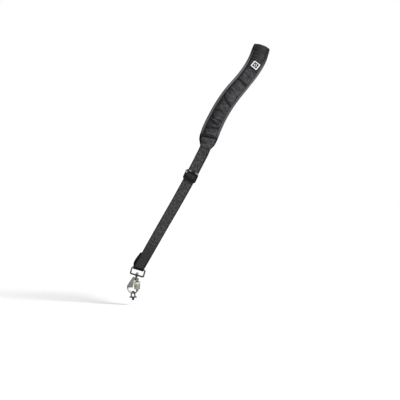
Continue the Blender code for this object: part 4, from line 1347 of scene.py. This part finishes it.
def hook_mesh():
    shank = turned([(radius, -down) for radius, down in SHANK])
    plate = loft([[(x, y, z) for x, z in PLATE] for y in (-PLATE_HALF, PLATE_HALF)])
    bow = wire([in_hook(x, z) for x, z in smooth_points(BOW, 6)], BOW_RADIUS)
    stub = rod(STUB_RADIUS, STUB_BOTTOM, STUB_TOP, 0.35)
    return combined(
        moved(eased(plate, 1.3, 4, 25), HOOK_PLACE),
        ("UNION", across_hook(CHEEK_RADIUS, CHEEK_HALF, 0.5)),
        ("UNION", moved(shank, SHANK_PLACE)),
        ("UNION", bow),
        ("UNION", moved(stub, HOOK_PLACE @ shifted((PIVOT[0], 0.0, 0.0)))),
        ("DIFFERENCE", across_hook(CHEEK_SLOT_RADIUS, CHEEK_SLOT_HALF, 0.05)),
        ("UNION", across_hook(PIN_RADIUS, PIN_HALF, 0.3)),
    )


def gate_mesh():
    neck_low = (-GATE_NECK_HALF, -KNUCKLE_HALF, -GATE_TOP - 1.0)
    neck = box(neck_low, (GATE_NECK_HALF, KNUCKLE_HALF, -1.0))
    return combined(
        across_hook(KNUCKLE_RADIUS, KNUCKLE_HALF, 0.25),
        ("UNION", moved(neck, PIVOT_PLACE)),
        ("UNION", moved(rod(GATE_RADIUS, -GATE_END, -GATE_TOP, 0.4), PIVOT_PLACE)),
        ("DIFFERENCE", across_hook(KNUCKLE_BORE, KNUCKLE_HALF + 1.0, 0.05)),
    )


def sleeve_mesh():
    """A barrel with a plain band on top, a recess for the ribs, and a beveled end."""
    full, recess = SLEEVE_RADIUS, SLEEVE_RADIUS - RIB_HEIGHT
    profile = (
        (SLEEVE_BORE, SLEEVE_TOP), (full - SLEEVE_SHOULDER, SLEEVE_TOP),
        (full - 0.4, SLEEVE_TOP + SLEEVE_SHOULDER - 0.5), (full, SLEEVE_TOP + SLEEVE_SHOULDER),
        (full, SLEEVE_BAND - 1.0), (recess, SLEEVE_BAND - 0.4), (recess, SLEEVE_BAND + 0.2),
        (recess, SLEEVE_END - 1.9), (full, SLEEVE_END - 1.5), (full, SLEEVE_END - 1.0),
        (full - 1.0, SLEEVE_END), (SLEEVE_BORE, SLEEVE_END),
    )
    rings = [(radius, -below) for radius, below in profile]
    return moved(turned(rings, SIDES + 16, bore=True), PIVOT_PLACE)


def thread_mesh():
    """The screw's helical thread, from the flange down."""
    length, per_turn = SCREW_LENGTH - 1.2, 32
    count = round(length / THREAD_PITCH * per_turn)
    rings = []
    for k in range(count + 1):
        turn = math.tau * k / per_turn
        fade = min(1.0, k / 12, (count - k) / 12)
        height = -FLANGE_TOP - FLANGE_THICK - 0.5 - length * k / count
        ridge = (
            (0.42, -0.2), (0.42, 0.0), (0.1, fade), (-0.1, fade), (-0.42, 0.0), (-0.42, -0.2)
        )
        ring = []
        for offset, out in ridge:
            reach = SCREW_RADIUS - THREAD_DEPTH + THREAD_DEPTH * out
            place = (reach * math.cos(turn), reach * math.sin(turn), height + offset * THREAD_PITCH)
            ring.append(place)
        rings.append(ring)
    return moved(loft(rings), EYE_PLACE)


def stud_mesh():
    crown = BOW_RADIUS + EYE_CLEAR + EYE_WIRE - EYE_RADIUS
    low, high = -FLANGE_TOP - 0.5, -FLANGE_TOP + 1.6
    arc = [math.pi * k / 24 for k in range(25)]
    points = [
        (-EYE_RADIUS, low), (-EYE_RADIUS, high),
        *((-EYE_RADIUS * math.cos(a), crown + EYE_RADIUS * math.sin(a)) for a in arc),
        (EYE_RADIUS, high), (EYE_RADIUS, low),
    ]
    turn = math.radians(EYE_TURN)
    sin, cos = math.sin(turn), math.cos(turn)
    eye = wire([(sin * side, -cos * side, up) for side, up in points], EYE_WIRE)
    bottom, root = -FLANGE_TOP - FLANGE_THICK, SCREW_RADIUS - THREAD_DEPTH
    base = turned((
        (0.0, -FLANGE_TOP), (FLANGE_RADIUS - 0.9, -FLANGE_TOP),
        (FLANGE_RADIUS - 0.25, -FLANGE_TOP - 0.25), (FLANGE_RADIUS, -FLANGE_TOP - 0.9),
        (FLANGE_RADIUS, bottom + 0.3), (FLANGE_RADIUS - 0.3, bottom), (root, bottom),
        (root, bottom - SCREW_LENGTH + 0.8), (root - 0.8, bottom - SCREW_LENGTH),
        (0.0, bottom - SCREW_LENGTH),
    ))
    return moved(combined(eye, ("UNION", base)), EYE_PLACE)


# ---- settings


def tone(label, text, default):
    return bpy.props.FloatVectorProperty(
        name=label, description=text, default=default, subtype="COLOR", min=0.0, max=1.0
    )


def amount(label, text, default):
    return bpy.props.FloatProperty(name=label, description=text, default=default, min=0.0, max=1.0)


def distance(label, text, default, low, high):
    return bpy.props.FloatProperty(
        name=label, description=text, default=default, min=low, max=high, unit="LENGTH",
        precision=4,
    )


class StrapSizes(bpy.types.PropertyGroup):
    """Sizes that a user would change."""

    stitch_spacing: distance("Stitch spacing", "From one stitch to the next", 0.0031, 0.001, 0.01)
    stitch_length: distance("Stitch length", "Length of a stitch that shows", 0.0023, 0.0005, 0.01)
    thread_thickness: distance("Thread", "Thickness of the thread", 0.00055, 0.0002, 0.002)
    pad_fill: amount("Pad fill", "How full the padded body is, from slack to tight", 0.7)
    panel_fill: amount("Panel fill", "How full the panels are, from slack to tight", 0.5)
    rib_count: bpy.props.IntProperty(
        name="Sleeve ribs", description="Ribs round the lock sleeve", default=44, min=8, max=90
    )


class StrapColours(bpy.types.PropertyGroup):
    """Colours that a user would change, as linear light."""

    # The pad's cloth is mixed from these two; the raised colour also gives its painted highlights.
    pad: tone("Pad cloth", "The pad's cloth in its hollows", (0.0272, 0.0270, 0.0288))
    pad_tint: tone("Raised cloth", "The pad's cloth where it is high", (0.0382, 0.0378, 0.0407))
    lining: tone("Lining", "The mesh cloth under the pad", (0.028, 0.028, 0.030))
    # The bindings are this dark colour where painted as in shade; the face colour is their lit face
    # and the ridge colour a painted highlight.
    binding: tone("Binding edge", "The outer fold of the bindings", (0.012, 0.012, 0.013))
    binding_face: tone("Binding face", "The flat face of the bindings", (0.058, 0.057, 0.061))
    binding_ridge: tone("Binding ridge", "The rubbed ridge of the bindings", (0.100, 0.099, 0.103))
    tape: tone("Webbing", "The webbing's yarn", (0.042, 0.042, 0.043))
    label: tone("Label", "The sewn patch", (0.56, 0.56, 0.555))
    label_mark: tone("Label mark", "The plain woven box and cross", (0.008, 0.008, 0.008))
    thread_light: tone("Light thread", "Thread of the long seams", (0.13, 0.13, 0.13))
    thread_dark: tone("Dark thread", "Thread of the cross seams", (0.020, 0.020, 0.022))
    plastic: tone("Slider", "The slider's plastic", (0.0035, 0.0035, 0.004))
    nickel: tone("Nickel", "Plating of the ring and hook", (0.26, 0.257, 0.247))
    # The dull colours, made much darker, also give the painted shade on the ring and the sleeve.
    nickel_dark: tone("Nickel, dull", "Cloudy places in the plating", (0.035, 0.035, 0.033))
    sleeve: tone("Sleeve", "The lock sleeve's metal", (0.40, 0.41, 0.335))
    sleeve_dark: tone("Sleeve, dull", "Cloudy places on the sleeve", (0.17, 0.17, 0.125))
    stud: tone("Screw eye", "The screw eye's coating", (0.010, 0.010, 0.011))
    floor: tone("Floor", "The plain floor", (0.98, 0.98, 0.98))


class StrapOperator:
    """What the strap's operators share."""

    bl_options = {"REGISTER", "UNDO"}

    def execute(self, context):
        """Build the pieces; an error inside stops the script."""
        self.build(context.scene.strap_sizes, context.scene.strap_colours)
        return {"FINISHED"}


class STRAP_OT_pad(StrapOperator, bpy.types.Operator):
    """Build the padded body, the two panels that cover it and the tabs at its ends"""

    bl_idname = "strap.pad"
    bl_label = "Pad"

    def build(self, sizes, colours):
        matte = {**MATTE, "Sheen Weight": 0.04}
        cloth = finish("face_cloth", matte, pad_cloth, colours.pad, colours.pad_tint)
        # The shoulder panel's cloth: a darker copy of the face cloth, with painted shade at its
        # sides on the crest.
        deep, raised = shade(colours.pad, 0.62), shade(colours.pad_tint, 0.66)
        plain = finish("shoulder_cloth", matte, pad_cloth, deep, raised, 0.8)
        make_pad_body(finish("lining_cloth", MATTE, lining_cloth, colours.lining))
        make_panel("shoulder_cover", REAR_SEAM, LABEL_SEAM, "shoulder_panel", False, plain)
        make_panel("face_cover", LABEL_SEAM, LOWER_SEAM, "face_panel", True, cloth)
        make_tab("front_tab_cover", PAD_FRONT_END, LOWER_SEAM, "front_tab", cloth)
        make_tab("rear_tab_cover", PAD_REAR_END, REAR_SEAM, "rear_tab", cloth)


class STRAP_OT_bindings(StrapOperator, bpy.types.Operator):
    """Build the folded tapes round the pad's long edges"""

    bl_idname = "strap.bindings"
    bl_label = "Bindings"

    def build(self, sizes, colours):
        face, ridge = colours.binding_face, colours.binding_ridge
        # Zones of painted light across each tape: its lit face, and a painted highlight on its
        # ridge.
        upper, lower = (-90.0, 185.0), (185.0, 290.0)
        inner = (
            (1.2, 6.4, ridge, *upper), (1.2, 2.8, shade(face, 0.8), *lower),
            (2.8, 4.4, shade(ridge, 1.15), *lower),
        )
        outer = (0.4, 3.2, face, *upper), (3.2, 6.4, ridge, *upper), (0.4, 6.0, face, *lower)
        for side, hand, zones, lit in (
            ("inner", -1, inner, (34.0, 125.0, 288.0, 297.0)),
            ("outer", 1, outer, (44.0, 100.0, 284.0, 296.0)),
        ):
            cloth = finish(f"binding_{side}", MATTE, binding_cloth, colours.binding, zones, *lit)
            make_binding(f"binding_{side}_tape", hand, f"edge_binding_{side}", cloth)


class STRAP_OT_label(StrapOperator, bpy.types.Operator):
    """Build the plain sewn patch below the shoulder"""

    bl_idname = "strap.label"
    bl_label = "Label"

    def build(self, sizes, colours):
        make_label(finish("label_cloth", MATTE, label_cloth, colours.label, colours.label_mark))


class STRAP_OT_webbing(StrapOperator, bpy.types.Operator):
    """Build the two webbing runs"""

    bl_idname = "strap.webbing"
    bl_label = "Webbing"

    def build(self, sizes, colours):
        weave = finish("tape_weave", MATTE, tape_weave, colours.tape)
        make_tape("front_run", front_run_rows(), "webbing_front", weave)
        make_tape("rear_run", rear_run_rows(), "webbing_rear", weave)


class STRAP_OT_stitches(StrapOperator, bpy.types.Operator):
    """Lay the stitches along the seams, bindings, tabs, label and webbing ends"""

    bl_idname = "strap.stitches"
    bl_label = "Stitches"

    def build(self, sizes, colours):
        tree = stitch_tree()
        fixed = {"Specular IOR Level": 0.25, "Sheen Weight": 0.05}
        light = finish("light_thread", fixed, thread, colours.thread_light)
        dark = finish("dark_thread", fixed, thread, colours.thread_dark)
        for name, runs, material, scale in (
            ("binding_stitches", self.binding_runs(), light, 1.0),
            ("seam_stitches", self.seam_runs(), dark, 1.0),
            ("label_stitches", self.label_runs(), dark, 0.62),
            ("webbing_stitches", self.webbing_runs(), dark, 0.8),
        ):
            piece = grown(name, lines_mesh(name, runs), tree, {
                "Spacing": sizes.stitch_spacing * scale,
                "Length": sizes.stitch_length * scale,
                "Thickness": sizes.thread_thickness * scale,
                "Slant": STITCH_SLANT,
                "Material": material,
            })
            placed(piece, "strap", None)

    def binding_runs(self):
        along = steps(PAD_REAR_END + 3, PAD_FRONT_END - 3, 2.0)
        middle, inner = body_middle(along), binding_inner_edge(along)
        rise = body_half(along) + GAP + BINDING_WALL
        runs = []
        for hand, inset in ((-1, SEAM_INSET), (1, SEAM_INSET), (1, SECOND_INSET)):
            top = middle + rise * math.sqrt(1 - (inset / BINDING_REACH) ** 2)
            runs.append(strap_run(along, hand * (inner + inset), top + 0.12))
        for hand in (-1, 1):
            places, outward = strap_run(along, hand * (inner + SEAM_INSET), 0.0)
            runs.append((places, -outward))
        return runs

    def seam_runs(self):
        share = np.linspace(-1, 1, 20)
        runs = []
        for seam, offset in (
            (LABEL_SEAM, -2.6), (LABEL_SEAM, 2.0), (LOWER_SEAM, -2.2), (REAR_SEAM, 2.4),
            (LOWER_SEAM, 2.0),
        ):
            side = share * (binding_inner_edge(seam.along) - 1.0)
            along = seam.along + seam.skew * side + offset
            top = panel_top(along, side) - seam_drop(abs(offset))
            if (seam, offset) == (LOWER_SEAM, 2.0):
                top = tab_top(10.0, share * 0.8)
            runs.append(strap_run(along, side, top + THREAD_LIFT))
        return runs

    def label_runs(self):
        half = LABEL_SIDE / 2 - 1.3
        corners = [(-half, -half), (half, -half), (half, half), (-half, half), (-half, -half)]
        runs = []
        for (a, b), (c, d) in zip(corners, corners[1:]):
            along, across = on_label(np.linspace(a, c, 10), np.linspace(b, d, 10))
            height = panel_top(along, across) + GAP / 2 + LABEL_THICK + THREAD_LIFT
            runs.append(strap_run(along, across, height))
        return runs

    def webbing_runs(self):
        side = np.linspace(-SEWN_HALF, SEWN_HALF, 12)
        over = WEB_THICK / 2 + 0.1
        sewn = [(up, side) for up in SEWN_ROWS]
        sewn += [(np.linspace(SEWN_ROWS[0], SEWN_ROWS[-1], 12), edge) for edge in side[[0, -1]]]
        runs = [strap_run(LINE.end - up, across, fold_row(up)[0] + over) for up, across in sewn]
        for up in REAR_SEWN_ROWS:
            lift = 0.8 + max(0.0, WEB_THICK / 2 - fold_row(up)[1]) + over
            runs.append(strap_run(up - LINE.end, side, lift))
        return runs


class STRAP_OT_slider(StrapOperator, bpy.types.Operator):
    """Build the slider on the front run"""

    bl_idname = "strap.slider"
    bl_label = "Slider"

    def build(self, sizes, colours):
        fixed = {"Specular IOR Level": 0.12}
        plastic = finish("slider_plastic", fixed, moulded_plastic, colours.plastic)
        hard_piece("slider_frame", slider_mesh(), plastic, "strap", "slider")


class STRAP_OT_hook(StrapOperator, bpy.types.Operator):
    """Build the ring, the swivel hook, its gate and its lock sleeve"""

    bl_idname = "strap.hook"
    bl_label = "Ring and hook"

    def build(self, sizes, colours):
        nickel, dull = colours.nickel, colours.nickel_dark
        # Each metal's dull colour, made much darker, is its painted shade; the sleeve's band gets a
        # painted highlight.
        ring, hook, sleeve, gate = (
            finish(name, METAL, plated_metal, *values) for name, *values in (
                ("ring_nickel", shade(nickel, 0.7), dull, 0.24, 4.0, ring_painted_shade),
                ("hook_nickel", nickel, shade(nickel, 0.35), 0.4, 2.4, hook_painted_shade),
                ("sleeve_metal", colours.sleeve, colours.sleeve_dark, 0.34, 2.2, sleeve_painted_shade,
                 sleeve_painted_highlight),
                ("gate_nickel", shade(nickel, 0.3), dull, 0.3, 2.0),
            )
        )
        hard_piece("ring_wire", ring_mesh(), ring, "ring", "ring")
        hard_piece("hook_body", hook_mesh(), hook, "hook", "swivel_hook")
        hard_piece("gate_bar", gate_mesh(), gate, "gate", "gate")
        hard_piece("sleeve_barrel", sleeve_mesh(), sleeve, "sleeve", "lock_sleeve")
        ribs = grown("sleeve_ribs", bpy.data.meshes.new("seed"), rib_tree(), {
            "Count": sizes.rib_count,
            "Radius": (SLEEVE_RADIUS - RIB_HEIGHT) * MM,
            "Length": (SLEEVE_END - SLEEVE_BAND - 1.4) * MM,
            "Width": RIB_WIDTH * MM,
            "Material": sleeve,
        })
        middle = -(SLEEVE_BAND + SLEEVE_END - 1.2) / 2
        ribs.data.transform(shifted((in_hook(*PIVOT) + UP * middle) * MM))
        placed(ribs, "sleeve", None)


class STRAP_OT_stud(StrapOperator, bpy.types.Operator):
    """Build the screw eye that hangs in the hook"""

    bl_idname = "strap.stud"
    bl_label = "Screw eye"

    def build(self, sizes, colours):
        fixed = {"Metallic": 0.2, "Specular IOR Level": 0.3}
        coat = finish("stud_metal", fixed, coated_metal, colours.stud)
        hard_piece("screw_eye", stud_mesh(), coat, "stud", "camera_stud")
        hard_piece("screw_thread", thread_mesh(), coat, "stud", None)


class STRAP_OT_stage(StrapOperator, bpy.types.Operator):
    """Set the floor, the soft lights, the pale surroundings and the camera"""

    bl_idname = "strap.stage"
    bl_label = "Stage"

    def build(self, sizes, colours):
        self.floor(colours)
        self.surroundings()
        self.lights()
        self.camera()

    def floor(self, colours):
        mesh = bpy.data.meshes.new("floor")
        corners = ((-1, -1), (1, -1), (1, 1), (-1, 1))
        low = CAD_BOX[0][2] - FLOOR_BELOW
        corners = [(x * FLOOR_HALF, y * FLOOR_HALF, low) for x, y in corners]
        mesh.from_pydata(corners, [], [(0, 1, 2, 3)])
        fixed = {"Roughness": 0.9, "Specular IOR Level": 0.1}
        mesh.materials.append(finish("pale_floor", fixed, floor_finish, colours.floor))
        linked("floor", mesh)

    def surroundings(self):
        """A white world that lights the piece from the front, as a wide soft box does."""
        world = bpy.data.worlds.new("pale_room")
        world.use_nodes = True
        graph = Graph(world.node_tree)
        view = graph.add("ShaderNodeTexCoord", out="Generated")
        ahead, = graph.split(view, "Y")
        seen = graph.add("ShaderNodeLightPath", out="Is Camera Ray")
        sockets = world.node_tree.nodes["Background"].inputs
        graph.feed(sockets["Strength"], seen.most(0.10 + ahead.spread(-0.5, -0.97) * 0.85))
        graph.feed(sockets["Color"], (1.0, 1.0, 1.0, 1.0))
        bpy.context.scene.world = world
        bpy.context.scene.view_settings.view_transform = "Standard"

    def lights(self):
        """Wide, soft lamps that are so far off that the floor is evenly lit."""
        for name, towards, spread_angle, power in (
            ("key", (0.75, -0.85, 0.58), 24.0, 4.9),
            ("fill", (-0.9, -0.5, 0.6), 50.0, 0.9),
            ("back", (-0.2, 1.0, 0.2), 40.0, 0.6),
        ):
            lamp = bpy.data.lights.new(name, "SUN")
            lamp.angle, lamp.energy = math.radians(spread_angle), power
            linked(name, lamp).rotation_euler = Vector(towards).to_track_quat("Z", "Y").to_euler()

    def camera(self):
        camera = bpy.data.cameras.new("camera")
        camera.sensor_width, camera.clip_end = SENSOR, 100.0
        camera.lens = SENSOR * CAMERA_AWAY / (PIXEL * 400)
        holder = linked("camera", camera)
        holder.location = Vector(CAMERA_AT) * MM
        holder.rotation_euler = (math.radians(90), 0.0, 0.0)
        bpy.context.scene.camera = holder


class STRAP_PT_panel(bpy.types.Panel):
    """Lists the strap's builders and their settings"""

    bl_idname = "STRAP_PT_panel"
    bl_label = "Sling strap"
    bl_space_type = "VIEW_3D"
    bl_region_type = "UI"
    bl_category = "Strap"

    def draw(self, context):
        for group in (context.scene.strap_sizes, context.scene.strap_colours):
            for key in group.__annotations__:
                self.layout.prop(group, key)
        for operator in OPERATORS:
            self.layout.operator(operator.bl_idname)


OPERATORS = (
    STRAP_OT_stage, STRAP_OT_pad, STRAP_OT_bindings, STRAP_OT_label, STRAP_OT_webbing,
    STRAP_OT_stitches, STRAP_OT_slider, STRAP_OT_hook, STRAP_OT_stud,
)
CLASSES = (StrapSizes, StrapColours, *OPERATORS, STRAP_PT_panel)


def register():
    for item in CLASSES:
        bpy.utils.register_class(item)
    bpy.types.Scene.strap_sizes = bpy.props.PointerProperty(type=StrapSizes)
    bpy.types.Scene.strap_colours = bpy.props.PointerProperty(type=StrapColours)


def unregister():
    del bpy.types.Scene.strap_colours
    del bpy.types.Scene.strap_sizes
    for item in reversed(CLASSES):
        bpy.utils.unregister_class(item)


def main():
    register()
    for operator in OPERATORS:
        family, name = operator.bl_idname.split(".")
        getattr(getattr(bpy.ops, family), name)()
    bpy.context.view_layer.update()


if __name__ == "__main__":
    main()
